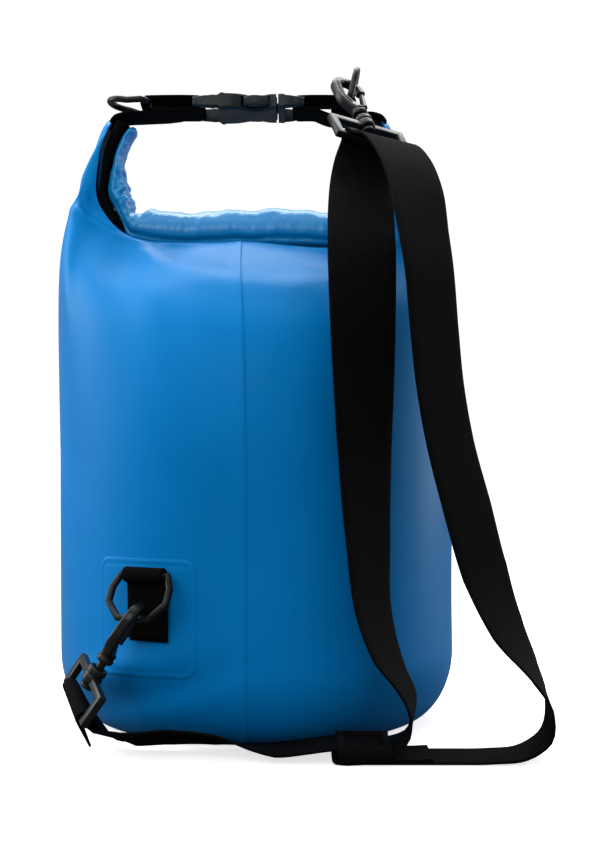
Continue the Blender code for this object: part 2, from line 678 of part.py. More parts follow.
def fill_in(route, step):
    """The same route with even stations on a smooth curve where its places lie far apart."""
    def at(i):
        return route[min(max(i, 0), len(route) - 1)]
    stations = []
    for i in range(len(route) - 1):
        (a, _), (b, w0), (c, w1), (d, _) = at(i - 1), at(i), at(i + 1), at(i + 2)
        span = (c - b).length
        reach_in, reach_out = (b - a).length or span, (d - c).length or span
        start = ((c - b) / span * reach_in + (b - a) / reach_in * span) / (span + reach_in) * span
        end = ((c - b) / span * reach_out + (d - c) / reach_out * span) / (span + reach_out) * span
        count = max(1, round(span / step))
        for k in range(count):
            t = k / count
            place = (b * (2 * t ** 3 - 3 * t ** 2 + 1) + start * (t ** 3 - 2 * t ** 2 + t)
                     + c * (3 * t ** 2 - 2 * t ** 3) + end * (t ** 3 - t ** 2))
            stations.append((place, w0.lerp(w1, t).normalized()))
    stations.append(route[-1])
    return stations


def make_slider():
    """Three-bar slider: the sliding ply runs straight over the middle bar, under the outer bars."""
    x, y = SLIDER_AT.x, SLIDER_AT.y
    rail_in, rail_out, low, high = 0.0196, 0.0218, 0.0024, 0.0110
    slider = part("strap_slider",
                  box_mesh("strap_slider", (x - 0.0145, y - rail_out, low), (x + 0.0145, y - rail_in, high)),
                  "buckle_plastic")
    pieces = [((-0.0145, rail_in, low), (0.0145, rail_out, high)),
              ((-0.0020, -rail_out + 0.001, low), (0.0020, rail_out - 0.001, 0.0052)),
              ((-0.0140, -rail_out + 0.001, 0.0092), (-0.0105, rail_out - 0.001, high - 0.0001)),
              ((0.0105, -rail_out + 0.001, 0.0092), (0.0140, rail_out - 0.001, high - 0.0001))]
    for low_corner, high_corner in pieces:
        (x0, y0, z0), (x1, y1, z1) = low_corner, high_corner
        boolean(slider, "UNION", box_mesh("bar", (x + x0, y + y0, z0), (x + x1, y + y1, z1)))


def make_strap(upper, lower):
    stations = fill_in(strap_route(upper, lower), STRAP_STEP)
    flat_band("shoulder_strap", stations, STRAP_WIDTH, STRAP_THICK, "strap_webbing")
    return stations


def build():
    make_bag()
    make_rolled_mouth()
    make_handle()
    upper = hook_frame(UPPER_HOOK_AT, UPPER_HOOK_AXIS, Vector((0, 1, 0)))
    make_hook("upper", upper, UPPER_SPIN, UPPER_SWIVEL)
    bar = make_lower_ring()
    at = bar - LOWER_HOOK_AXIS * LOWER_HOOK_REACH
    lower = hook_frame(at, LOWER_HOOK_AXIS, LOWER_HOOK_BACK.cross(LOWER_HOOK_AXIS))
    make_hook("lower", lower, 0.0, LOWER_SWIVEL)
    make_slider()
    turned_upper = upper @ Matrix.Rotation(UPPER_SWIVEL, 4, "X")
    turned_lower = lower @ Matrix.Rotation(LOWER_SWIVEL, 4, "X")
    stations = make_strap(turned_upper, turned_lower)
    return upper, lower, bar, stations


PLACES = build()
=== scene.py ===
"""Looks of a roll-top dry bag on its fixed frame: skin, rolled mouth, handle, hooks, strap."""

import logging
import math
from dataclasses import dataclass, field
from enum import Enum
from typing import Callable, Optional, Sequence

import bpy
from mathutils import Matrix, Vector, noise


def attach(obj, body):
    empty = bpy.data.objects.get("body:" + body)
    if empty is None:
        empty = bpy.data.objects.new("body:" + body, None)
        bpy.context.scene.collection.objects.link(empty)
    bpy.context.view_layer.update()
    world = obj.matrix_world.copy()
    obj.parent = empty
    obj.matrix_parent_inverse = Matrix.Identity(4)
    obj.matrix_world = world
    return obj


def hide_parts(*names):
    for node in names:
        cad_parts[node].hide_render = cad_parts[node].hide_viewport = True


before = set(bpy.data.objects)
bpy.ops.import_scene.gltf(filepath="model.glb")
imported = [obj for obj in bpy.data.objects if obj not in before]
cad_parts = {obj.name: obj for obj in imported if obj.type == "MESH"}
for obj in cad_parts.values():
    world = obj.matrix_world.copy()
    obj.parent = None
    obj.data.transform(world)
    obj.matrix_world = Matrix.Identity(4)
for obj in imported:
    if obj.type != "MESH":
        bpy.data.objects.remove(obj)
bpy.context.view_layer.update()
LOG = logging.getLogger("dry_bag")

Point = Callable[[float, float], Vector]
# edges of a grid closer than this are joined, in metres
WELD = 0.00002


class Side(Enum):
    """Which end of the mouth or handle a piece belongs to."""

    LEFT = -1
    RIGHT = 1


# ---------------------------------------------------------------- geometry helpers
def mix(a: float, b: float, t: float) -> float:
    """Straight blend between two numbers."""
    return a + (b - a) * t


def ease(low: float, high: float, x: float) -> float:
    """Smooth step from 0 at low to 1 at high."""
    t = min(1.0, max(0.0, (x - low) / (high - low)))
    return t * t * (3.0 - 2.0 * t)


def bump(x: float, middle: float, width: float) -> float:
    """Bell curve of height 1."""
    return math.exp(-((x - middle) / width) ** 2)


def table(rows: Sequence[tuple[float, float]], x: float) -> float:
    """Value at x in a table of (x, value) rows, blended smoothly between rows."""
    if x <= rows[0][0]:
        return rows[0][1]
    for (x0, y0), (x1, y1) in zip(rows, rows[1:]):
        if x <= x1:
            return mix(y0, y1, ease(x0, x1, x))
    return rows[-1][1]


def smooth_line(points: Sequence[Vector], count: int) -> list[Vector]:
    """Places at even steps on a smooth curve through the given points.

    Args:
        points: the places the curve goes through.
        count: how many places to return.

    Returns:
        The places, evenly spaced along the curve.
    """
    def at(i: int) -> Vector:
        return points[min(max(i, 0), len(points) - 1)]

    dense: list[Vector] = []
    for i in range(len(points) - 1):
        a, b, c, d = at(i - 1), at(i), at(i + 1), at(i + 2)
        for k in range(24):
            t = k / 24
            dense.append(0.5 * (2 * b + (c - a) * t + (2 * a - 5 * b + 4 * c - d) * t * t
                                + (3 * b - a - 3 * c + d) * t ** 3))
    dense.append(points[-1])
    reach = [0.0]
    for p, q in zip(dense, dense[1:]):
        reach.append(reach[-1] + (q - p).length)
    line: list[Vector] = []
    step = 0
    for i in range(count):
        want = reach[-1] * i / (count - 1)
        while step < len(dense) - 2 and reach[step + 1] < want:
            step += 1
        span = reach[step + 1] - reach[step] or 1.0
        line.append(dense[step].lerp(dense[step + 1], (want - reach[step]) / span))
    return line


def select_only(obj: bpy.types.Object) -> None:
    """Make obj the only selected and active object."""
    bpy.ops.object.select_all(action="DESELECT")
    obj.select_set(True)
    bpy.context.view_layer.objects.active = obj


def apply_all(obj: bpy.types.Object) -> None:
    """Apply every modifier of obj in order."""
    select_only(obj)
    for change in list(obj.modifiers):
        bpy.ops.object.modifier_apply(modifier=change.name)


def bake_place(obj: bpy.types.Object) -> None:
    """Move the object's place into its mesh, so that it sits unrotated at the origin."""
    select_only(obj)
    bpy.ops.object.transform_apply(location=True, rotation=True, scale=True)


def mapped_grid(name: str, columns: int, rows: int, size: tuple[float, float], at: Point,
                weld: float = 0.0) -> bpy.types.Object:
    """A grid primitive laid onto a surface, with its UV map in metres.

    Args:
        name: the piece's name.
        columns: faces along the first way.
        rows: faces along the second way.
        size: the surface's two real lengths, for the UV map.
        at: gives the place for each share (0 to 1) along both ways.
        weld: distance within which the edges are joined, or 0.

    Returns:
        The new mesh object at the origin.
    """
    bpy.ops.object.select_all(action="DESELECT")
    bpy.ops.mesh.primitive_grid_add(x_subdivisions=columns, y_subdivisions=rows, size=1.0,
                                    calc_uvs=True, location=(0, 0, 0))
    obj = bpy.context.object
    obj.name = name
    mesh = obj.data
    mesh.name = name
    for loop in mesh.uv_layers[0].data:
        loop.uv = (loop.uv[0] * size[0], loop.uv[1] * size[1])
    mesh.uv_layers[0].name = "cloth"
    for vertex in mesh.vertices:
        vertex.co = at(vertex.co.x + 0.5, vertex.co.y + 0.5)
    if weld:
        bpy.ops.object.mode_set(mode="EDIT")
        bpy.ops.mesh.select_all(action="SELECT")
        bpy.ops.mesh.remove_doubles(threshold=weld)
        bpy.ops.object.mode_set(mode="OBJECT")
    return obj


def face_out(obj: bpy.types.Object) -> None:
    """Turn the faces of a closed mesh outwards."""
    select_only(obj)
    bpy.ops.object.mode_set(mode="EDIT")
    bpy.ops.mesh.select_all(action="SELECT")
    bpy.ops.mesh.normals_make_consistent(inside=False)
    bpy.ops.object.mode_set(mode="OBJECT")


def smooth(obj: bpy.types.Object, degrees: float = 35.0) -> None:
    """Smooth shading with sharp edges kept above an angle."""
    select_only(obj)
    bpy.ops.object.shade_smooth_by_angle(angle=math.radians(degrees))


def thicken(obj: bpy.types.Object, thickness: float, offset: float = -1.0) -> None:
    """Give an open surface a thickness, inwards unless offset says otherwise."""
    wall = obj.modifiers.new("wall", "SOLIDIFY")
    wall.thickness = thickness
    wall.offset = offset
    apply_all(obj)


def soften(obj: bpy.types.Object, width: float, degrees: float = 40.0, segments: int = 3,
           shade: float = 40.0) -> None:
    """Round a piece's sharp edges.

    Args:
        obj: the piece.
        width: how far each edge is cut back.
        degrees: edges sharper than this are rounded.
        segments: steps across each rounding.
        shade: edges sharper than this stay sharp in the shading.
    """
    rim = obj.modifiers.new("rounded", "BEVEL")
    rim.width = width
    rim.segments = segments
    rim.limit_method = "ANGLE"
    rim.angle_limit = math.radians(degrees)
    apply_all(obj)
    smooth(obj, shade)


def close_ends(obj: bpy.types.Object) -> None:
    """Close the open ends of a tube."""
    select_only(obj)
    bpy.ops.object.mode_set(mode="EDIT")
    bpy.ops.mesh.select_all(action="DESELECT")
    bpy.ops.mesh.select_mode(type="VERT")
    bpy.ops.mesh.select_non_manifold(extend=False)
    bpy.ops.mesh.edge_face_add()
    bpy.ops.object.mode_set(mode="OBJECT")


def settle(pieces: Sequence[bpy.types.Object], body: str) -> None:
    """Let pieces move with a body."""
    for piece in pieces:
        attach(piece, body)


# ---------------------------------------------------------------- finishes
class Graph:
    """Short hand for building a node tree."""

    def __init__(self, tree: bpy.types.NodeTree) -> None:
        """Keep the tree that nodes are added to."""
        self.tree = tree

    def add(self, kind: str, inputs: Optional[dict] = None, **settings: object) -> bpy.types.Node:
        """Add one node.

        Args:
            kind: the node's type name.
            inputs: values, or sockets to link, by input name or number.
            settings: the node's own properties.

        Returns:
            The new node.
        """
        node = self.tree.nodes.new(kind)
        for key, value in settings.items():
            setattr(node, key, value)
        for key, value in (inputs or {}).items():
            if isinstance(value, bpy.types.NodeSocket):
                self.tree.links.new(value, node.inputs[key])
            else:
                node.inputs[key].default_value = value
        return node

    def math(self, operation: str, a: object, b: object = 0.0) -> bpy.types.NodeSocket:
        """Result of a math node on two values or sockets."""
        return self.add("ShaderNodeMath", {0: a, 1: b}, operation=operation).outputs[0]

    def ramp(self, value: object, low: float, high: float, out_low: float = 0.0,
             out_high: float = 1.0) -> bpy.types.NodeSocket:
        """Smooth range mapping of a value."""
        return self.add("ShaderNodeMapRange", {0: value, 1: low, 2: high, 3: out_low, 4: out_high},
                        interpolation_type="SMOOTHSTEP").outputs[0]

    def blend(self, share: object, a: object, b: object) -> bpy.types.NodeSocket:
        """Blend of two colours."""
        return self.add("ShaderNodeMix", {0: share, 6: a, 7: b}, data_type="RGBA").outputs[2]


def effect(name: str, inputs: dict[str, str], outputs: dict[str, str],
           build: Callable[[Graph, bpy.types.Node, bpy.types.Node], None]) -> bpy.types.NodeTree:
    """A shared node group, made once.

    Args:
        name: the group's name.
        inputs: socket types by input name.
        outputs: socket types by output name.
        build: fills the group between its input and output nodes.

    Returns:
        The node group.
    """
    found = bpy.data.node_groups.get(name)
    if found:
        return found
    tree = bpy.data.node_groups.new(name, "ShaderNodeTree")
    for label, kind in inputs.items():
        tree.interface.new_socket(name=label, in_out="INPUT", socket_type=kind)
    for label, kind in outputs.items():
        tree.interface.new_socket(name=label, in_out="OUTPUT", socket_type=kind)
    graph = Graph(tree)
    build(graph, graph.add("NodeGroupInput"), graph.add("NodeGroupOutput"))
    return tree


COLOR, FLOAT, VECTOR = "NodeSocketColor", "NodeSocketFloat", "NodeSocketVector"
Color = tuple[float, float, float]


def mottle(graph: Graph, start: bpy.types.Node, end: bpy.types.Node) -> None:
    """Slow colour change and handling marks over a moulded or coated surface."""
    place = graph.add("ShaderNodeTexCoord").outputs["Object"]
    slow = graph.add("ShaderNodeTexNoise", {"Vector": place, "Scale": start.outputs["Scale"],
                                            "Detail": 3.0}).outputs[0]
    fine = graph.add("ShaderNodeTexNoise", {"Vector": place, "Scale": 420.0,
                                            "Detail": 2.0}).outputs[0]
    shade = graph.ramp(slow, 0.3, 0.7, 0.0, 1.0)
    colour = graph.blend(shade, start.outputs["Dark"], start.outputs["Light"])
    graph.tree.links.new(colour, end.inputs["Colour"])
    graph.tree.links.new(graph.ramp(slow, 0.25, 0.75, 0.0, 1.0), end.inputs["Wear"])
    graph.tree.links.new(fine, end.inputs["Grain"])


def weave(graph: Graph, start: bpy.types.Node, end: bpy.types.Node) -> None:
    """Crossing threads along the cloth's own UV map, in metres."""
    where = graph.add("ShaderNodeUVMap", uv_map="cloth").outputs[0]
    parts = graph.add("ShaderNodeSeparateXYZ", {0: where})
    pitch = start.outputs["Pitch"]
    across = graph.math("DIVIDE", parts.outputs[0], pitch)
    along = graph.math("DIVIDE", parts.outputs[1], pitch)
    row = graph.math("MULTIPLY", graph.math("FLOOR", along), 0.5)
    warp = graph.math("SINE", graph.math("MULTIPLY", graph.math("ADD", across, row), 2 * math.pi))
    weft = graph.math("SINE", graph.math("MULTIPLY", along, 2 * math.pi))
    height = graph.math("ADD", graph.math("MULTIPLY", warp, 0.5), graph.math("ABSOLUTE", weft))
    graph.tree.links.new(height, end.inputs["Height"])
    thread = graph.add("ShaderNodeTexNoise", {"Vector": where, "Scale": 900.0,
                                              "Detail": 1.0}).outputs[0]
    graph.tree.links.new(thread, end.inputs["Thread"])


@dataclass(frozen=True)
class Finish:
    """A named finish; each kind of surface fills its own node tree."""

    name: str
    colour: Color
    roughness: float

    def shade(self, graph: Graph, shader: bpy.types.Node) -> None:
        """Give the shader its colour alone; each kind of surface adds its own detail."""
        shader.inputs["Base Color"].default_value = (*self.colour, 1.0)

    def material(self) -> bpy.types.Material:
        """The finish's material, made once."""
        found = bpy.data.materials.get(self.name)
        if found:
            return found
        made = bpy.data.materials.new(self.name)
        made.use_nodes = True
        shader = made.node_tree.nodes["Principled BSDF"]
        shader.inputs["Roughness"].default_value = self.roughness
        self.shade(Graph(made.node_tree), shader)
        return made

    def put_on(self, obj: bpy.types.Object) -> None:
        """Cover obj with this finish alone."""
        obj.data.materials.clear()
        obj.data.materials.append(self.material())

    def group(self, graph: Graph, tree: bpy.types.NodeTree, values: dict) -> bpy.types.Node:
        """Place a shared effect with its input values."""
        node = graph.add("ShaderNodeGroup", node_tree=tree)
        for key, value in values.items():
            node.inputs[key].default_value = value
        return node

    def shades(self, spread: float) -> tuple[tuple, tuple]:
        """A darker and a lighter shade of the colour."""
        dark = tuple(c * (1 - spread) for c in self.colour)
        light = tuple(min(1.0, c * (1 + spread)) for c in self.colour)
        return (*dark, 1.0), (*light, 1.0)


def mottle_group() -> bpy.types.NodeTree:
    """The shared mottle effect."""
    return effect("mottle", {"Dark": COLOR, "Light": COLOR, "Scale": FLOAT},
                  {"Colour": COLOR, "Wear": FLOAT, "Grain": FLOAT}, mottle)


def weave_group() -> bpy.types.NodeTree:
    """The shared weave effect."""
    return effect("weave", {"Pitch": FLOAT}, {"Height": FLOAT, "Thread": FLOAT}, weave)


@dataclass(frozen=True)
class Tarpaulin(Finish):
    """Coated fabric: satin film over a faint scrim, paler where it turns away."""

    scrim: float = 0.0013
    relief: float = 0.045
    gloss: float = 0.12
    tint: Color = (0.30, 0.85, 1.0)

    def shade(self, graph: Graph, shader: bpy.types.Node) -> None:
        """Mottled film colour, scrim relief and an uneven satin gloss."""
        dark, light = self.shades(0.07)
        film = self.group(graph, mottle_group(), {"Dark": dark, "Light": light, "Scale": 9.0})
        threads = self.group(graph, weave_group(), {"Pitch": self.scrim})
        rough = graph.ramp(film.outputs["Wear"], 0.0, 1.0, self.roughness - 0.04,
                           self.roughness + 0.06)
        height = graph.math("ADD", graph.math("MULTIPLY", threads.outputs["Height"], 0.35),
                            graph.math("MULTIPLY", film.outputs["Grain"], 0.5))
        relief = graph.add("ShaderNodeBump", {"Height": height, "Strength": self.relief,
                                              "Distance": 0.0006})
        graph.tree.links.new(film.outputs["Colour"], shader.inputs["Base Color"])
        graph.tree.links.new(rough, shader.inputs["Roughness"])
        graph.tree.links.new(relief.outputs[0], shader.inputs["Normal"])
        shader.inputs["Specular IOR Level"].default_value = self.gloss
        shader.inputs["Specular Tint"].default_value = (*self.tint, 1.0)


@dataclass(frozen=True)
class Webbing(Finish):
    """Woven tape with ribs across it and a dull fuzzy face."""

    pitch: float = 0.0011
    relief: float = 0.5

    def shade(self, graph: Graph, shader: bpy.types.Node) -> None:
        """Thread colour change and weave relief."""
        threads = self.group(graph, weave_group(), {"Pitch": self.pitch})
        dark, light = self.shades(0.30)
        colour = graph.blend(graph.ramp(threads.outputs["Thread"], 0.3, 0.7), dark, light)
        relief = graph.add("ShaderNodeBump", {"Height": threads.outputs["Height"],
                                              "Strength": self.relief, "Distance": 0.0002})
        graph.tree.links.new(colour, shader.inputs["Base Color"])
        graph.tree.links.new(relief.outputs[0], shader.inputs["Normal"])
        shader.inputs["Specular IOR Level"].default_value = 0.03


@dataclass(frozen=True)
class Moulded(Finish):
    """Moulded plastic with a fine spark-etched grain."""

    grain: float = 0.12
    gloss: float = 0.5

    def shade(self, graph: Graph, shader: bpy.types.Node) -> None:
        """Slow gloss change from handling and a fine grain."""
        dark, light = self.shades(0.18)
        face = self.group(graph, mottle_group(), {"Dark": dark, "Light": light, "Scale": 60.0})
        rough = graph.ramp(face.outputs["Wear"], 0.0, 1.0, self.roughness - 0.05,
                           self.roughness + 0.07)
        relief = graph.add("ShaderNodeBump", {"Height": face.outputs["Grain"],
                                              "Strength": self.grain, "Distance": 0.0002})
        shader.inputs["Specular IOR Level"].default_value = self.gloss
        graph.tree.links.new(face.outputs["Colour"], shader.inputs["Base Color"])
        graph.tree.links.new(rough, shader.inputs["Roughness"])
        graph.tree.links.new(relief.outputs[0], shader.inputs["Normal"])


@dataclass(frozen=True)
class Finishes:
    """Every finish of the bag."""

    skin: Finish = Tarpaulin("coated_skin", (0.000, 0.168, 0.480), 0.42)
    # the roll is the skin's own fabric; its lighter blue is painted light, standing in for the pale lit
    # top of the roll
    inner: Finish = Tarpaulin("coated_roll", (0.000, 0.200, 0.500), 0.38, gloss=0.50,
                              tint=(0.80, 0.95, 1.0))
    patch: Finish = Tarpaulin("coated_patch", (0.000, 0.166, 0.475), 0.42)
    tape: Finish = Webbing("edge_tape", (0.0020, 0.0020, 0.0023), 0.85)
    strap: Finish = Webbing("strap_cloth", (0.0022, 0.0024, 0.0028), 0.80, pitch=0.0014)
    buckle: Finish = Moulded("buckle_moulding", (0.014, 0.018, 0.021), 0.40, gloss=0.14)
    ring: Finish = Moulded("ring_moulding", (0.004, 0.005, 0.005), 0.36, gloss=0.2)
    hook: Finish = Moulded("hook_moulding", (0.005, 0.006, 0.006), 0.34, gloss=0.25)
    slider: Finish = Moulded("slider_moulding", (0.003, 0.003, 0.003), 0.7, gloss=0.04)
    thread: Finish = Webbing("sewn_thread", (0.004, 0.004, 0.005), 0.7, pitch=0.0004)


# ---------------------------------------------------------------- closed shapes
def rounded(phi: float, wide: float, tall: float, power: float) -> tuple[float, float]:
    """A place on a rounded rectangle, boxier for a smaller power."""
    c, s = math.cos(phi), math.sin(phi)
    return (math.copysign(abs(c) ** power, c) * wide, math.copysign(abs(s) ** power, s) * tall)


def lofted(name: str, ring: Point, columns: int, rows: int, finish: Finish, sharp: float = 40.0,
           size: tuple[float, float] = (0.05, 0.03), weld: float = 0.000005) -> bpy.types.Object:
    """A closed moulding skinned over rings.

    Args:
        name: the piece's name.
        ring: place for a share along the piece and an angle round it.
        columns: steps along the piece.
        rows: steps round it.
        finish: its finish.
        sharp: edges above this angle stay sharp.
        size: length and girth, for the UV map.
        weld: distance within which the edges are joined.

    Returns:
        The moulding.
    """
    obj = mapped_grid(name, columns, rows, size, lambda u, v: ring(u, 2 * math.pi * v), weld)
    close_ends(obj)
    face_out(obj)
    smooth(obj, sharp)
    finish.put_on(obj)
    return obj


def turned(name: str, profile: Sequence[tuple[float, float]], finish: Finish) -> bpy.types.Object:
    """A piece turned about its length; a profile that ends where it starts makes a ring.

    Args:
        name: the piece's name.
        profile: rows of place along the piece and radius.
        finish: its finish.

    Returns:
        The piece.
    """
    def ring(u: float, phi: float) -> Vector:
        x = u * (len(profile) - 1)
        k = min(int(x), len(profile) - 2)
        at = mix(profile[k][0], profile[k + 1][0], x - k)
        radius = mix(profile[k][1], profile[k + 1][1], x - k)
        return Vector((at, radius * math.cos(phi), radius * math.sin(phi)))

    return lofted(name, ring, 60, 40, finish, 50)


def cut_box(obj: bpy.types.Object, low: Vector, high: Vector) -> None:
    """Cut a box out of a piece.

    Args:
        obj: the piece.
        low: the box's lowest corner.
        high: its highest corner.
    """
    bpy.ops.object.select_all(action="DESELECT")
    bpy.ops.mesh.primitive_cube_add(size=1.0, location=(low + high) / 2)
    tool = bpy.context.object
    tool.scale = high - low
    bake_place(tool)
    change = obj.modifiers.new("cut", "BOOLEAN")
    change.operation = "DIFFERENCE"
    change.solver = "EXACT"
    change.object = tool
    apply_all(obj)
    bpy.data.objects.remove(tool, do_unlink=True)


# ---------------------------------------------------------------- camera
@dataclass
class Viewpoint:
    """A level camera in front of the seam side."""

    place: Vector = field(default_factory=lambda: Vector((0.026, -1.0, 0.18)))
    lens: float = 68.7
    sensor: float = 36.0

    def build(self) -> bpy.types.Object:
        """Create the camera and make it the scene's own."""
        data = bpy.data.cameras.new("camera")
        data.lens = self.lens
        data.sensor_width = self.sensor
        camera = bpy.data.objects.new("camera", data)
        camera.location = self.place
        camera.rotation_euler = (math.pi / 2, 0.0, 0.0)
        bpy.context.scene.collection.objects.link(camera)
        bpy.context.scene.camera = camera
        return camera


# ---------------------------------------------------------------- ribbons
@dataclass
class Ribbon:
    """Flat webbing that follows a list of (place, way across its width)."""

    name: str
    stations: list[tuple[Vector, Vector]]
    width: float
    thick: float
    columns: int = 6
    edge: float = 0.00035

    def frames(self) -> list[tuple[Vector, Vector]]:
        """Each station with its way across made square to the line.

        Returns:
            The places and unit ways across.
        """
        count = len(self.stations)
        squared = []
        for i, (place, across) in enumerate(self.stations):
            way = self.stations[min(i + 1, count - 1)][0] - self.stations[max(i - 1, 0)][0]
            way.normalize()
            squared.append((place, (across - way * across.dot(way)).normalized()))
        return squared

    def build(self, finish: Finish) -> bpy.types.Object:
        """Lay a grid along the stations and give it thickness and soft edges.

        Args:
            finish: the cloth's finish.

        Returns:
            The ribbon.
        """
        frames = self.frames()
        reach = [0.0]
        for (p, _), (q, _) in zip(frames, frames[1:]):
            reach.append(reach[-1] + (q - p).length)
        total, last = reach[-1], len(frames) - 1

        def at(u: float, v: float) -> Vector:
            row = min(last, round(v * last))
            place, across = frames[row]
            return place + across * (u - 0.5) * self.width

        ribbon = mapped_grid(self.name, self.columns, last, (self.width, total), at)
        for loop in ribbon.data.uv_layers[0].data:
            row = min(last, round(loop.uv[1] / total * last))
            loop.uv = (loop.uv[0], reach[row])
        thicken(ribbon, self.thick, 0.0)
        soften(ribbon, self.edge, 60, 2, 50)
        finish.put_on(ribbon)
        return ribbon


# the shoulder strap's route: place, then the way across the webbing
ROUTE = [
    (-0.0932, -0.1075, 0.0123, -0.313, 0.885, 0.343), (-0.0973, -0.1128, 0.0223, -0.313, 0.885, 0.343),
    (-0.0993, -0.1155, 0.0272, -0.313, 0.885, 0.343), (-0.0995, -0.1162, 0.0290, -0.313, 0.885, 0.343),
    (-0.0988, -0.1166, 0.0307, -0.313, 0.885, 0.343), (-0.0973, -0.1166, 0.0319, -0.313, 0.885, 0.343),
    (-0.0955, -0.1161, 0.0323, -0.313, 0.885, 0.343), (-0.0938, -0.1153, 0.0318, -0.313, 0.885, 0.343),
    (-0.0928, -0.1144, 0.0305, -0.313, 0.885, 0.343), (-0.0904, -0.1113, 0.0247, -0.313, 0.885, 0.343),
    (-0.0880, -0.1082, 0.0189, -0.313, 0.885, 0.343), (-0.0805, -0.1145, 0.0110, -0.050, 0.990, -0.100),
    (-0.0700, -0.1195, 0.0092, 0.050, 0.940, -0.330), (-0.0450, -0.1220, 0.0105, 0.030, 0.930, -0.360),
    (-0.0200, -0.1225, 0.0092, 0.000, 0.950, -0.300), (0.0000, -0.1228, 0.0055, 0.000, 0.990, -0.120),
    (0.0150, -0.1245, 0.0045, 0.000, 1.000, 0.000), (0.0310, -0.1265, 0.0066, 0.000, 1.000, 0.000),
    (0.0420, -0.1270, 0.0081, 0.000, 1.000, 0.000), (0.0600, -0.1270, 0.0081, 0.000, 1.000, 0.000),
    (0.0750, -0.1270, 0.0081, 0.000, 1.000, 0.000), (0.0830, -0.1275, 0.0115, 0.050, 1.000, 0.000),
    (0.0865, -0.1275, 0.0210, 0.100, 0.990, 0.000), (0.0858, -0.1275, 0.0320, 0.200, 0.980, 0.000),
    (0.0800, -0.1270, 0.0430, 0.270, 0.960, 0.000), (0.0735, -0.1260, 0.0545, 0.410, 0.910, 0.000),
    (0.0665, -0.1250, 0.0765, 0.510, 0.860, 0.000), (0.0630, -0.1240, 0.1170, 0.640, 0.770, 0.000),
    (0.0612, -0.1240, 0.1625, 0.760, 0.650, 0.000), (0.0605, -0.1240, 0.2080, 0.880, 0.470, 0.000),
    (0.0600, -0.1210, 0.2460, 0.950, 0.300, 0.000), (0.0600, -0.1090, 0.2760, 0.980, 0.150, 0.000),
    (0.0605, -0.0870, 0.3015, 0.930, 0.280, 0.000), (0.0630, -0.0600, 0.3250, 0.880, 0.430, -0.080),
    (0.0672, -0.0441, 0.3444, 0.869, 0.470, -0.156), (0.0672, -0.0437, 0.3455, 0.869, 0.470, -0.156),
    (0.0675, -0.0437, 0.3474, 0.869, 0.470, -0.156), (0.0682, -0.0445, 0.3489, 0.869, 0.470, -0.156),
    (0.0692, -0.0460, 0.3497, 0.869, 0.470, -0.156), (0.0701, -0.0477, 0.3496, 0.869, 0.470, -0.156),
    (0.0706, -0.0489, 0.3487, 0.869, 0.470, -0.156), (0.0775, -0.0605, 0.3455, 0.860, 0.500, -0.120),
    (0.0845, -0.0755, 0.3345, 0.830, 0.550, -0.060), (0.0905, -0.0920, 0.3150, 0.800, 0.600, 0.000),
    (0.0935, -0.1070, 0.2900, 0.760, 0.650, 0.000), (0.0965, -0.1170, 0.2650, 0.740, 0.670, 0.000),
    (0.0990, -0.1205, 0.2330, 0.730, 0.680, 0.000), (0.1020, -0.1220, 0.2020, 0.720, 0.690, 0.000),
    (0.1075, -0.1230, 0.1700, 0.720, 0.690, 0.000), (0.1165, -0.1245, 0.1350, 0.740, 0.670, 0.000),
    (0.1260, -0.1260, 0.1000, 0.700, 0.710, 0.100), (0.1380, -0.1275, 0.0700, 0.480, 0.840, 0.200),
    (0.1520, -0.1285, 0.0470, 0.200, 0.970, 0.100), (0.1600, -0.1290, 0.0290, 0.050, 1.000, 0.020),
    (0.1585, -0.1290, 0.0130, 0.000, 1.000, 0.000), (0.1470, -0.1280, 0.0040, 0.000, 1.000, 0.000),
    (0.1280, -0.1272, 0.0014, 0.000, 1.000, 0.000), (0.1080, -0.1270, 0.0011, 0.000, 1.000, 0.000),
    (0.0900, -0.1270, 0.0011, 0.000, 1.000, 0.000), (0.0740, -0.1270, 0.0011, 0.000, 1.000, 0.000),
    (0.0600, -0.1270, 0.0011, 0.000, 1.000, 0.000), (0.0460, -0.1270, 0.0011, 0.000, 1.000, 0.000),
    (0.0447, -0.1270, 0.0014, 0.000, 1.000, 0.000), (0.0437, -0.1270, 0.0024, 0.000, 1.000, 0.000),
    (0.0434, -0.1270, 0.0037, 0.000, 1.000, 0.000), (0.0437, -0.1270, 0.0050, 0.000, 1.000, 0.000),
    (0.0447, -0.1270, 0.0060, 0.000, 1.000, 0.000), (0.0460, -0.1270, 0.0063, 0.000, 1.000, 0.000),
    (0.0610, -0.1270, 0.0063, 0.000, 1.000, 0.000), (0.0650, -0.1270, 0.0063, 0.000, 1.000, 0.000),
    (0.0770, -0.1270, 0.0030, 0.000, 1.000, 0.000), (0.0960, -0.1270, 0.0030, 0.000, 1.000, 0.000),
]


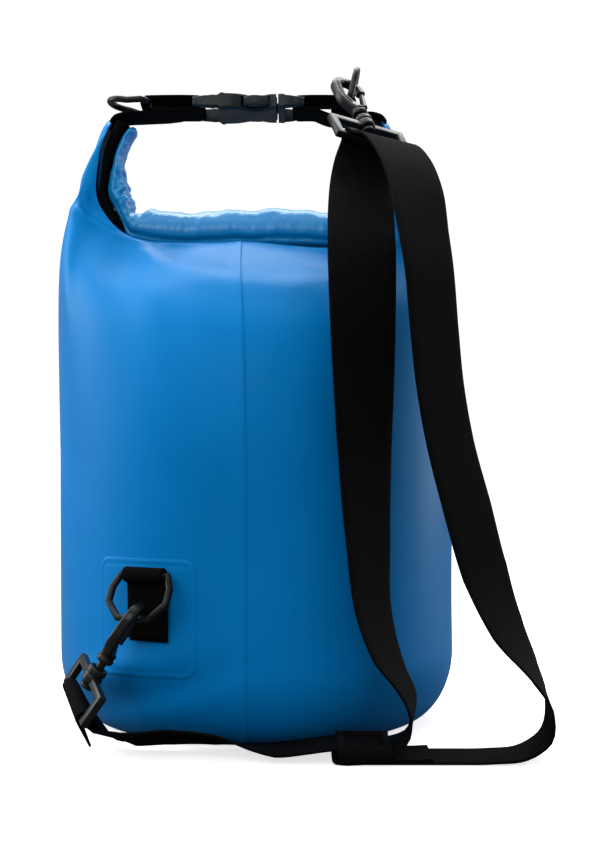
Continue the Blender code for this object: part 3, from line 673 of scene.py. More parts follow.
@dataclass
class ShoulderStrap:
    """The free webbing, from the lower frame over the upper frame to the slider."""

    width: float = 0.038
    thick: float = 0.0014
    step: float = 0.004

    def line(self) -> list[tuple[Vector, Vector]]:
        """Stations at even steps on a smooth curve through the route.

        Returns:
            Places with the way across the webbing.
        """
        route = [(Vector(row[:3]), Vector(row[3:])) for row in ROUTE]
        last = len(route) - 1
        stations: list[tuple[Vector, Vector]] = []
        for i in range(last):
            (b, w0), (c, w1) = route[i], route[i + 1]
            a, d = route[max(i - 1, 0)][0], route[min(i + 2, last)][0]
            span = (c - b).length
            before, after = (b - a).length or span, (d - c).length or span
            start = ((c - b) / span * before + (b - a) / before * span) / (span + before) * span
            end = ((c - b) / span * after + (d - c) / after * span) / (span + after) * span
            count = max(1, round(span / self.step))
            for k in range(count):
                t = k / count
                place = (b * (2 * t ** 3 - 3 * t ** 2 + 1) + start * (t ** 3 - 2 * t ** 2 + t)
                         + c * (3 * t ** 2 - 2 * t ** 3) + end * (t ** 3 - t ** 2))
                stations.append((place, w0.lerp(w1, t).normalized()))
        stations.append(route[-1])
        return stations

    def build(self, finishes: Finishes) -> bpy.types.Object:
        """Args:
            finishes: the bag's finishes.

        Returns:
            The strap.
        """
        stations = self.line()
        strap = Ribbon("shoulder_strap_webbing", stations, self.width, self.thick, 8).build(
            finishes.strap)
        path = [tuple(place) for place, _ in stations]
        length = sum((Vector(q) - Vector(p)).length for p, q in zip(path, path[1:]))
        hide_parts("shoulder_strap")
        settle([strap], "bag")
        LOG.info("shoulder strap %.3f m", length)
        return strap


# ---------------------------------------------------------------- mouth line
MOUTH = [(0.000, 0.3005), (0.022, 0.3000), (0.044, 0.3000), (0.060, 0.3015), (0.071, 0.3065),
         (0.0785, 0.3160), (0.0815, 0.3280), (0.0815, 0.3410), (0.0790, 0.3540), (0.0755, 0.3650)]


@dataclass
class MouthLine:
    """The line of the rolled mouth, from the left tip down, across and up to the right tip."""

    shift: float = -0.0065
    count: int = 241
    widths: tuple = ((0.0, 0.0180), (0.55, 0.0180), (1.0, 0.0138))
    # thickness of the black edge strip, by share of the way from the middle to a tip
    strip: tuple = ((0.0, 0.0008), (0.50, 0.0008), (0.55, 0.0018), (0.62, 0.0040), (0.68, 0.0036),
                    (0.75, 0.0046), (0.82, 0.0060), (0.92, 0.0066), (1.0, 0.0082))
    # thickness of the rolled fabric above that strip
    roll: tuple = ((0.0, 0.0178), (0.30, 0.0172), (0.46, 0.0160), (0.515, 0.0110), (0.535, 0.0085),
                   (0.57, 0.0105), (0.63, 0.0125), (0.70, 0.0120), (0.76, 0.0082), (0.83, 0.0050),
                   (0.92, 0.0048), (1.0, 0.0052))
    # how far the strip's outer face lies from the line
    outer: tuple = ((0.0, 0.0064), (0.5, 0.0066), (0.65, 0.0090), (0.80, 0.0066), (1.0, 0.0046))

    def __post_init__(self) -> None:
        """Work out the places along the line once."""
        half = [Vector((x, 0.0, z)) for x, z in MOUTH]
        left = [Vector((-p.x, 0.0, p.z)) for p in reversed(half)]
        self.line = smooth_line(left + half[1:], self.count)

    def at(self, m: float) -> tuple[Vector, Vector, float]:
        """The line at a share of its length.

        Args:
            m: 0 at the left tip, 1 at the right tip.

        Returns:
            The place, the way inwards to the handle, and the share from the middle to a tip.
        """
        last = self.count - 1
        x = min(max(m, 0.0), 1.0) * last
        i = min(int(x), last - 1)
        place = self.line[i].lerp(self.line[i + 1], x - i)
        way = (self.line[min(i + 2, last)] - self.line[max(i - 1, 0)]).normalized()
        return (place + Vector((self.shift, 0, 0)), Vector((-way.z, 0.0, way.x)),
                abs(2 * m - 1))


# ---------------------------------------------------------------- skin
@dataclass
class BagSkin:
    """The welded tube: round base, straight wall, shoulders leaning in to the rolled mouth."""

    mouth: MouthLine
    radius: float = 0.120
    base_radius: float = 0.088
    base_round: float = 0.045
    knee: float = 0.160
    columns: int = 260
    rows: int = 165
    # upper edge of the front panel, rising to the left: sideways, up
    crease: tuple = ((-0.122, 0.3135), (-0.110, 0.3095), (-0.098, 0.3015), (-0.084, 0.2945),
                     (-0.070, 0.2895))
    # lower limit of the part that leans back: sideways, up
    shoulder: tuple = ((-0.066, 0.2825), (-0.0575, 0.277), (-0.0427, 0.2687), (-0.0256, 0.2632),
                       (-0.007, 0.260), (0.0172, 0.2588), (0.0408, 0.262), (0.066, 0.275))

    def rim(self, s: float) -> Vector:
        """The tube's top edge.

        Args:
            s: share round the tube, 0 at the left, 0.25 in front.

        Returns:
            The place on the edge.
        """
        front = s <= 0.5
        m = 2 * s if front else 2 - 2 * s
        place, inward, share = self.mouth.at(m)
        below = table(self.mouth.outer, share) + 0.0018
        flat = 1 - ease(0.50, 0.62, share)
        half = table(self.mouth.widths, share) + 0.0018 + 0.0049 * flat
        tip = min(1.0, min(m, 1 - m) / 0.045)
        half *= math.sqrt(max(0.0, 1 - (1 - tip) ** 2))
        drop = flat * (0.0022 + 0.0035 * ease(-0.01, 0.055, place.x))
        side = -half if front else half
        return place - inward * (below + drop) + Vector((0, side, 0))

    def wall(self, s: float, t: float) -> Vector:
        """The tube without its folds.

        Args:
            s: share round the tube.
            t: share up the tube, 1 at the rim.

        Returns:
            The place on the smooth wall.
        """
        angle = math.radians(-90 + 360 * s)
        out = Vector((math.sin(angle), -math.cos(angle), 0.0))
        if t < 0.15:
            turn = math.pi / 2 * t / 0.15
            radius = mix(self.base_radius, self.radius, math.sin(turn))
            return out * radius + Vector((0, 0, self.base_round * (1 - math.cos(turn))))
        knee = out * self.radius + Vector((0, 0, self.knee))
        if t < 0.42:
            start = out * self.radius + Vector((0, 0, self.base_round))
            return start.lerp(knee, (t - 0.15) / 0.27)
        b = (t - 0.42) / 0.58
        rim = self.rim(s)
        side = abs(math.sin(angle)) ** 3
        lean_front = Vector((0, 0.94 if out.y < 0 else -0.94, 0.34))
        lean_side = Vector((-0.56 if out.x > 0 else 0.56, 0, 0.83))
        arrive = lean_front.lerp(lean_side, side).normalized()
        first = knee + Vector((0, 0, 0.090 + 0.010 * side)) + out * 0.002 * side
        second = rim - arrive * (0.072 - 0.010 * side)
        return (knee * (1 - b) ** 3 + first * 3 * b * (1 - b) ** 2
                + second * 3 * b * b * (1 - b) + rim * b ** 3)

    def fold(self, place: Vector, s: float, t: float) -> float:
        """How far folds and dents lift the skin at a place.

        Args:
            place: the place on the smooth wall.
            s: share round the tube; not used.
            t: share up the tube.

        Returns:
            The lift along the outward normal, in metres.
        """
        x, z = place.x, place.z
        soft = noise.noise(Vector((x * 9, place.y * 9, z * 6)))
        fine = noise.noise(Vector((x * 34, place.y * 34 + 7, z * 22)))
        high = ease(0.45, 0.95, t)
        lift = 0.0016 * soft * ease(0.0, 0.2, t) + 0.0007 * fine * high
        front = 1 - ease(-0.045, 0.010, place.y)
        if front > 0:
            dent = 0.0
            for sign, amount in ((1, 1.0), (-1, 0.7)):
                gap = z - table(self.crease, sign * x + (0.0 if sign > 0 else 0.013))
                near = ease(-0.119, -0.104, sign * x) * (1 - ease(-0.075, -0.062, sign * x))
                dent += amount * near * (0.0030 * bump(gap, 0.0, 0.0034)
                                         - 0.0056 * bump(gap, 0.0105, 0.0070))
            gap = z - table(self.shoulder, x)
            lean = ease(-0.078, -0.060, x) * (1 - ease(0.060, 0.078, x))
            dent += lean * (0.0014 * bump(gap, 0.0, 0.008) - 0.0022 * bump(gap, 0.016, 0.010))
            run = x * 0.33 + 0.068
            dent += 0.0020 * bump(z, run, 0.009) * bump(x, -0.075, 0.038)
            dent -= 0.0026 * bump(z, run - 0.020, 0.010) * bump(x, -0.060, 0.045)
            lift += dent * front
        drape = noise.noise(Vector((x * 26, 2.0 if place.y < 0 else 9.0, z * 7)))
        hung = ease(0.17, 0.25, z) * (1 - ease(0.285, 0.305, z)) * ease(0.02, 0.06, abs(place.y))
        lift += (0.0010 if place.y < 0 else 0.0024) * drape * hung
        pleat = math.sin(x * 150 + z * 40) * bump(abs(x), 0.060, 0.022)
        return lift + 0.0009 * pleat * high

    def at(self, s: float, t: float, lift: float = 0.0) -> Vector:
        """A place on the folded skin.

        Args:
            s: share round the tube.
            t: share up the tube.
            lift: extra height off the skin.

        Returns:
            The place.
        """
        place = self.wall(s, t)
        d = 0.002
        low, high = max(t - d, 0.0), min(t + d, 1.0)
        up = self.wall(s, high) - self.wall(s, low)
        round_ = self.wall((s + d) % 1.0, t) - self.wall((s - d) % 1.0, t)
        normal = round_.cross(up)
        if normal.length < 1e-9:
            normal = Vector((place.x, place.y, 0))
        normal.normalize()
        held = ease(0.0, 0.04, t) * (1 - ease(0.985, 1.0, t))
        return place + normal * (self.fold(place, s, t) * held + lift)

    def share_up(self, z: float) -> float:
        """Share up the tube of a height on the straight wall or the rounded bottom."""
        if z < self.base_round:
            return 0.15 * math.acos(1 - z / self.base_round) / (math.pi / 2)
        return 0.15 + 0.27 * (z - self.base_round) / (self.knee - self.base_round)

    def build(self, finishes: Finishes) -> list[bpy.types.Object]:
        """Make the tube, its welded overlap and its base.

        Args:
            finishes: the bag's finishes.

        Returns:
            The pieces.
        """
        columns, rows = ((self.columns, self.rows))
        hem = 4 / rows

        def place(u: float, v: float) -> Vector:
            if v <= 1 - hem:
                return self.at(u % 1.0, v / (1 - hem))
            depth = (v - 1 + hem) / hem
            rim = self.rim(u % 1.0)
            m = 2 * u if u <= 0.5 else 2 - 2 * u
            _, inward, _ = self.mouth.at(m)
            turn = math.sin(depth * math.pi / 2)
            towards = Vector((0, -rim.y, 0))
            towards = towards.normalized() if towards.length > 1e-5 else inward
            return rim + towards * 0.0045 * depth - inward * 0.0030 * (turn - 0.35 * math.sin(
                depth * math.pi))

        tube = mapped_grid("bag_skin", columns, rows, (0.754, 0.40), place, WELD)
        thicken(tube, 0.0008)
        smooth(tube, 60)
        finishes.skin.put_on(tube)
        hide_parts("bag_shell")
        pieces = [tube, self.overlap(finishes), self.base(finishes)]
        settle(pieces, "bag")
        LOG.info("skin with %d pieces", len(pieces))
        return pieces

    def overlap(self, finishes: Finishes) -> bpy.types.Object:
        """The welded overlap that runs up the front of the tube.

        Args:
            finishes: the bag's finishes.

        Returns:
            The strip.
        """
        left, right = 0.25 - 0.0206, 0.25 - 0.0037

        def place(u: float, v: float) -> Vector:
            rise = 0.0001 + 0.0006 * ease(0.02, 0.90, u)
            rise = rise if 0.02 < u < 0.98 else 0.0001
            return self.at(mix(left, right, u), mix(0.035, 0.995, v), rise)

        strip = mapped_grid("weld_overlap", 10, 180, (0.0127, 0.38), place)
        thicken(strip, 0.0005)
        smooth(strip, 30)
        finishes.skin.put_on(strip)
        return strip

    def base(self, finishes: Finishes) -> bpy.types.Object:
        """The round base with its raised weld ring.

        Args:
            finishes: the bag's finishes.

        Returns:
            The base.
        """
        bpy.ops.object.select_all(action="DESELECT")
        bpy.ops.mesh.primitive_circle_add(vertices=96, radius=self.base_radius + 0.0004,
                                          fill_type="NGON", location=(0, 0, 0.0016))
        disc = bpy.context.object
        disc.name = "base_panel"
        bpy.ops.object.mode_set(mode="EDIT")
        bpy.ops.mesh.select_all(action="SELECT")
        bpy.ops.mesh.inset(thickness=0.0015, depth=0)
        bpy.ops.mesh.inset(thickness=0.0065, depth=0.0007)
        bpy.ops.mesh.inset(thickness=0.0012, depth=-0.0009)
        bpy.ops.mesh.inset(thickness=0.030, depth=-0.0003)
        bpy.ops.mesh.poke()
        bpy.ops.object.mode_set(mode="OBJECT")
        bake_place(disc)
        thicken(disc, 0.0010)
        face_out(disc)
        smooth(disc, 40)
        layers = disc.data.uv_layers
        uv = layers[0] if layers else layers.new(name="cloth")
        uv.name = "cloth"
        for loop in disc.data.loops:
            spot = disc.data.vertices[loop.vertex_index].co
            uv.data[loop.index].uv = (spot.x, spot.y)
        finishes.skin.put_on(disc)
        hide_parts("base_disc")
        return disc


# ---------------------------------------------------------------- rolled mouth
@dataclass
class RolledMouth:
    """The mouth rolled over its stiffener and bent up into two horns."""

    mouth: MouthLine
    columns: int = 420
    around: int = 56

    def section(self, m: float, phi: float) -> Vector:
        """A place on the roll's surface.

        Args:
            m: share along the mouth line.
            phi: angle round the roll, 0 at the front and a quarter turn at the top.

        Returns:
            The place.
        """
        place, inward, share = self.mouth.at(m)
        end = min(1.0, min(m, 1 - m) / 0.018)
        close = math.sqrt(max(0.0, 1 - (1 - end) ** 2)) * 0.97 + 0.03
        wide = table(self.mouth.widths, share) * close
        horn = ease(0.52, 0.66, share)
        sink = 0.0075 * (1 - ease(0.49, 0.57, share))
        base = -table(self.mouth.outer, share) + table(self.mouth.strip, share) + 0.0004 - sink
        thick = table(self.mouth.roll, share) + sink
        wave = noise.noise(Vector((m * 14, 1.3, 0.0)))
        thick *= 1 + 0.16 * wave * (1 - horn)
        power = 0.62
        c, s = math.cos(phi), math.sin(phi)
        y = -math.copysign(abs(c) ** power, c) * wide
        n = math.copysign(abs(s) ** 0.80, s) * thick / 2 * close
        lay = -n * 0.9 if c > 0 and s > 0 else 0.0
        y -= lay * 0.35 * (1 - horn)
        groove = bump(n / thick, -0.27 + 0.05 * wave, 0.055) * (1 if c > 0 else 0.7)
        y += 0.0016 * groove * math.copysign(1, c) * (1 - 0.5 * horn)
        crinkle = noise.noise(Vector((m * 95, c * 1.6, s * 2.2)))
        large = noise.noise(Vector((m * 34 + 5, c * 1.1 + 3, s * 1.4)))
        ripple = (0.0022 * large + 0.0011 * crinkle) * (0.22 + 0.78 * bump(share, 0.66, 0.13))
        ripple *= close * (1 if s > -0.5 else 0.3)
        place = place + inward * (base + thick / 2 + n + ripple * max(0.0, s + 0.4))
        return place + Vector((0, y - math.copysign(1, c) * ripple * abs(c), 0))

    def build(self, finishes: Finishes) -> list[bpy.types.Object]:
        """Make the roll and the black strip under it.

        Args:
            finishes: the bag's finishes.

        Returns:
            The pieces.
        """
        columns, around = ((self.columns, self.around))
        # the roll wears the skin's fabric painted lighter, as painted light on its top
        roll = lofted("rolled_fabric", self.section, columns, around, finishes.inner, 60,
                      (0.268, 0.10), WELD)
        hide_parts("rolled_mouth")
        settle([roll], "bag")
        strip = self.strip(finishes)
        LOG.info("rolled mouth and stiffener")
        return [roll, strip]

    def strip(self, finishes: Finishes) -> bpy.types.Object:
        """The stiffener: a folded black tape between the skin and the roll.

        Args:
            finishes: the bag's finishes.

        Returns:
            The strip.
        """
        def ring(u: float, phi: float) -> Vector:
            spot, inward, share = self.mouth.at(mix(0.002, 0.998, u))
            wide = table(self.mouth.widths, share) + 0.0006 - 0.008 * (1 - ease(0.50, 0.57, share))
            tuck = 0.005 * ease(0.49, 0.55, share) * (1 - ease(0.62, 0.72, share))
            thick = table(self.mouth.strip, share) + tuck
            low = -table(self.mouth.outer, share) - tuck
            c, s = math.cos(phi), math.sin(phi)
            y = -math.copysign(abs(c) ** 0.35, c) * wide
            n = low + thick / 2 + math.copysign(abs(s) ** 0.5, s) * thick / 2
            return spot + inward * n + Vector((0, y, 0))

        tape = lofted("mouth_tape", ring, 240, 24, finishes.tape, 50, (0.268, 0.08), WELD)
        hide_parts("mouth_stiffener")
        settle([tape], "bag")
        return tape


# ---------------------------------------------------------------- handle
HANDLE = Matrix.Translation(Vector((-0.0055, 0.0, 0.3750))) @ Matrix.Rotation(
    math.radians(-7.0), 4, "X")


def arc(centre: tuple[float, float], radius: float, start: float, sweep: float,
        count: int = 9) -> list[tuple[float, float]]:
    """Points on part of a circle.

    Args:
        centre: the circle's centre.
        radius: its radius.
        start: first angle in degrees.
        sweep: how far it goes, in degrees.
        count: how many points.

    Returns:
        The points.
    """
    points = []
    for k in range(count):
        turn = math.radians(start + sweep * k / (count - 1))
        points.append((centre[0] + radius * math.cos(turn), centre[1] + radius * math.sin(turn)))
    return points


@dataclass
class Stitching:
    """Rows of sewn stitches, each a short rounded thread lying on the webbing."""

    length: float = 0.0026
    pitch: float = 0.0034
    radius: float = 0.00032

    def row(self, name: str, start: Vector, end: Vector, finish: Finish) -> bpy.types.Object:
        """Lay one row of stitches between two places.

        Args:
            name: the piece's name.
            start: where the row starts.
            end: where it ends.
            finish: the thread's finish.

        Returns:
            The row as one piece.
        """
        way = end - start
        count = max(1, int(way.length / self.pitch))
        turn = way.to_track_quat("Z", "Y").to_euler()
        made = []
        for k in range(count):
            bpy.ops.object.select_all(action="DESELECT")
            bpy.ops.mesh.primitive_uv_sphere_add(segments=8, ring_count=6, radius=self.radius,
                                                 location=start + way * (k + 0.5) / count,
                                                 rotation=turn)
            stitch = bpy.context.object
            stitch.scale = (1.0, 1.0, self.length / 2 / self.radius)
            made.append(stitch)
        bpy.ops.object.select_all(action="DESELECT")
        for stitch in made:
            stitch.select_set(True)
        bpy.context.view_layer.objects.active = made[0]
        bpy.ops.object.join()
        seam = bpy.context.object
        seam.name = name
        bake_place(seam)
        smooth(seam, 60)
        seam.data.uv_layers[0].name = "cloth"
        finish.put_on(seam)
        return seam


@dataclass
class HandleWebbing:
    """Webbing sewn to the horn's tip, looped round the buckle bar and the ring's bar."""

    side: Side
    width: float = 0.025
    thick: float = 0.0014
    bar_at: float = 0.0312
    ring_at: float = 0.0615
    fold: float = 0.0038

    def outline(self) -> list[tuple[float, float]]:
        """The tape's line in the handle's own plane, from the tip of the horn.

        Returns:
            Sideways and up, in metres.
        """
        slack = 0.0024 if self.side is Side.RIGHT else 0.0
        points = [(self.ring_at + 0.0225, -0.0120), (self.ring_at + 0.0195, -0.0082),
                  (self.ring_at + 0.0130, -0.0064), (self.ring_at + 0.0055, -0.0060 - 0.5 * slack),
                  (self.ring_at - 0.0020, -0.0056 - slack),
                  (self.ring_at - 0.0110, -0.0052 - slack),
                  (self.ring_at - 0.0175, -0.0044 - 0.4 * slack),
                  (self.ring_at - 0.0215, -self.fold)]
        points += arc((self.bar_at, 0.0), self.fold, 270, -180, 11)
        points += [(self.bar_at + 0.008, self.fold + 0.0003),
                   (self.ring_at - 0.008, self.fold + 0.0002)]
        points += arc((self.ring_at, 0.0), self.fold, 90, -180, 11)
        points += [(self.ring_at - 0.0060, -self.fold), (self.ring_at - 0.0110, -self.fold)]
        return points

    def build(self, finishes: Finishes) -> list[bpy.types.Object]:
        """Make the tape and its stitching.

        Args:
            finishes: the bag's finishes.

        Returns:
            The pieces.
        """
        sign = self.side.value
        word = self.side.name.lower()
        raw = [Vector((sign * x, 0.0, z)) for x, z in self.outline()]
        line = smooth_line(raw, 110)
        across = HANDLE.to_3x3().col[1]
        stations = [(HANDLE @ p, across.copy()) for p in line]
        tape = Ribbon(f"handle_tape_{word}", stations, self.width, self.thick).build(finishes.tape)
        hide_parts(f"handle_webbing_{word}")
        pieces = [tape]
        top = self.fold + self.thick / 2 + 0.0002
        for k, x in enumerate((self.bar_at + 0.0095, self.ring_at - 0.0085)):
            for face, z in (("upper", top), ("lower", -top - 0.0002)):
                if face == "lower" and k:
                    z = -self.fold - 0.0026
                ends = [HANDLE @ Vector((sign * x, y, z)) for y in (-0.0105, 0.0105)]
                name = f"handle_seam_{word}_{face}_{k}"
                pieces.append(Stitching().row(name, *ends, finishes.thread))
        settle(pieces, "bag")
        LOG.info("handle webbing %s", word)
        return pieces


# ---------------------------------------------------------------- lower anchor
PATCH_ANGLE = math.radians(-28.0)
PATCH = (Matrix.Rotation(PATCH_ANGLE, 4, "Z") @ Matrix.Translation((0, -0.120, 0.085))
         @ Matrix.Rotation(math.pi / 2, 4, "X"))


@dataclass
class RingAnchor:
    """Welded patch with a folded webbing tab that holds the lower ring."""

    skin: BagSkin
    half: float = 0.0325
    low: float = 0.0400
    high: float = 0.1060
    aside: float = -0.0050
    corner: float = 0.008
    bar: tuple = (0.0125, 0.0062)

    def patch(self, finishes: Finishes) -> bpy.types.Object:
        """The welded patch, thin at its edge, wrapped on the wall.

        Args:
            finishes: the bag's finishes.

        Returns:
            The patch.
        """
        tall = (self.high - self.low) / 2
        middle = (self.high + self.low) / 2

        def place(u: float, v: float) -> Vector:
            x, z = (2 * u - 1) * self.half, (2 * v - 1) * tall
            inner_x, inner_z = self.half - self.corner, tall - self.corner
            over = Vector((max(0.0, abs(x) - inner_x), max(0.0, abs(z) - inner_z)))
            reach = max(over.x, over.y)
            if over.length > 1e-9:
                over *= reach / over.length
            x = math.copysign(min(abs(x), inner_x) + over.x, x)
            z = math.copysign(min(abs(z), inner_z) + over.y, z)
            rim = self.corner - over.length
            rise = 0.0004 * ease(0.0, 0.0012, rim) - 0.0003 * bump(rim, 0.0035, 0.0008)
            share = 0.25 + (PATCH_ANGLE + (x + self.aside) / 0.120) / (2 * math.pi)
            return self.skin.at(share, self.skin.share_up(middle + z), 0.0001 + rise)

        piece = mapped_grid("anchor_patch", 60, 64, (0.065, 0.069), place)
        thicken(piece, 0.0006)
        smooth(piece, 40)
        finishes.patch.put_on(piece)
        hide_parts("ring_patch")
        settle([piece], "bag")
        return piece

    def tab(self, finishes: Finishes) -> list[bpy.types.Object]:
        """The tab: up the patch, over the ring's bar and back down on itself.

        Args:
            finishes: the bag's finishes.

        Returns:
            The tab and its stitching.
        """
        y, z = self.bar
        radius = 0.0036
        points = [(-0.0245, 0.0022), (-0.0150, 0.0024), (-0.0050, 0.0024), (0.0050, 0.0024),
                  (0.0095, 0.0024)]
        points += arc((y, z), radius, -75, 165, 10)
        points += arc((y, z), radius, 110, 70, 5)
        points += [(y - radius - 0.0012, z - 0.0018), (0.0055, 0.0042), (0.0010, 0.0040),
                   (-0.0080, 0.0039), (-0.0225, 0.0038)]
        line = smooth_line([Vector((0.0, a, b)) for a, b in points], 100)
        across = PATCH.to_3x3().col[0]
        stations = [(PATCH @ p, across.copy()) for p in line]
        tab = Ribbon("anchor_tab", stations, 0.025, 0.0013).build(finishes.tape)
        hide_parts("ring_tab")
        pieces = [tab]
        rows = [((-0.0105, -0.0200), (0.0105, -0.0200)), ((-0.0105, 0.0015), (0.0105, 0.0015)),
                ((-0.0105, -0.0195), (0.0105, 0.0010)), ((0.0105, -0.0195), (-0.0105, 0.0010))]
        for k, (start, end) in enumerate(rows):
            ends = [PATCH @ Vector((a, b, 0.0047)) for a, b in (start, end)]
            pieces.append(Stitching().row(f"anchor_seam_{k}", *ends, finishes.thread))
        settle(pieces, "bag")
        return pieces

    def build(self, finishes: Finishes) -> list[bpy.types.Object]:
        """Make the patch and the tab.

        Args:
            finishes: the bag's finishes.

        Returns:
            The pieces.
        """
        pieces = [self.patch(finishes), *self.tab(finishes)]
        LOG.info("lower anchor with %d pieces", len(pieces))
        return pieces


# ---------------------------------------------------------------- moulded pieces
@dataclass
class Buckle:
    """Side-release buckle: waisted socket on the left, tapered fork on the right."""

    half: float = 0.034
    mouth: float = 0.0170
    wide: float = 0.0168
    tall: float = 0.0053
    slot: float = 0.0131
    bar: float = 0.0312

    def open_slot(self, obj: bpy.types.Object, side: int, start: float) -> None:
        """Leave one slim bar for the webbing.

        Args:
            obj: the half of the buckle.
            side: -1 for the left end, 1 for the right.
            start: where the slot begins, from the middle.
        """
        for near, far in ((start, self.bar - 0.0018), (self.bar + 0.0018, 0.05)):
            ends = sorted((side * near, side * far))
            cut_box(obj, Vector((ends[0], -self.slot, -0.02)), Vector((ends[1], self.slot, 0.02)))
        for low, high in ((0.0019, 0.02), (-0.02, -0.0019)):
            ends = sorted((side * (self.bar - 0.003), side * (self.bar + 0.003)))
            cut_box(obj, Vector((ends[0], -self.slot, low)), Vector((ends[1], self.slot, high)))

    def socket(self, finish: Finish) -> bpy.types.Object:
        """The socket with its thumb recesses and hollow inside."""
        def ring(u: float, phi: float) -> Vector:
            x = mix(-self.half, self.mouth, u)
            wide = table(((-0.034, 0.0150), (-0.030, 0.0160), (-0.0168, self.wide),
                          (0.0170, self.wide)), x)
            wide -= 0.0062 * bump(x, 0.0045, 0.0085)
            tall = table(((-0.034, 0.0030), (-0.026, 0.0040), (-0.0182, 0.0046),
                          (-0.0160, self.tall), (0.0120, self.tall), (0.0170, self.tall - 0.0004)), x)
            tall += 0.0007 * bump(x, -0.0165, 0.0016) - 0.0005 * bump(x, -0.0195, 0.0012)
            y, z = rounded(phi, wide, tall, 0.24)
            return Vector((x, y, z))

        body = lofted("socket", ring, 90, 64, finish)
        self.open_slot(body, -1, self.mouth + 0.0012)
        inside = 0.0034
        cut_box(body, Vector((-0.0140, -self.wide + 0.0022, -inside)),
                Vector((0.05, self.wide - 0.0022, inside)))
        cut_box(body, Vector((self.mouth - 0.0215, -0.03, -inside)),
                Vector((self.mouth - 0.0035, 0.03, inside)))
        return body

    def fork(self, finish: Finish) -> bpy.types.Object:
        """The fork's base, tapered towards its webbing bar, with a stop flange."""
        root = self.mouth + 0.0012

        def ring(u: float, phi: float) -> Vector:
            x = mix(root, self.half, u)
            wide = table(((root, self.wide - 0.0004), (0.0230, self.wide - 0.0002),
                          (0.0300, 0.0160), (0.0340, 0.0148)), x)
            tall = table(((root, 0.0049), (0.0215, 0.0050), (0.0225, 0.0042), (0.0340, 0.0030)), x)
            y, z = rounded(phi, wide, tall, 0.26)
            return Vector((x, y, z))

        body = lofted("fork", ring, 48, 64, finish)
        self.open_slot(body, 1, root + 0.0042)
        return body

    def tongue(self, finish: Finish) -> bpy.types.Object:
        """The guide tongue between the prongs."""
        def ring(u: float, phi: float) -> Vector:
            x = mix(-0.0115, 0.0200, u)
            y, z = rounded(phi, 0.0030 - 0.0008 * bump(u, 0.0, 0.12), 0.0028, 0.3)
            return Vector((x, y, z))

        return lofted("guide_tongue", ring, 24, 24, finish)

    def build(self, finishes: Finishes) -> list[bpy.types.Object]:
        """Make both halves in place on the handle.

        Args:
            finishes: the bag's finishes.

        Returns:
            The pieces.
        """
        makers = (self.socket, self.fork, self.tongue)
        socket, fork, tongue = (make(finishes.buckle) for make in makers)
        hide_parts("buckle_socket")
        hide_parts("buckle_fork")
        pieces = [socket, fork, tongue]
        for piece in pieces:
            soften(piece, 0.0004)
            piece.matrix_world = HANDLE
            bake_place(piece)
        settle(pieces, "bag")
        LOG.info("buckle")
        return pieces


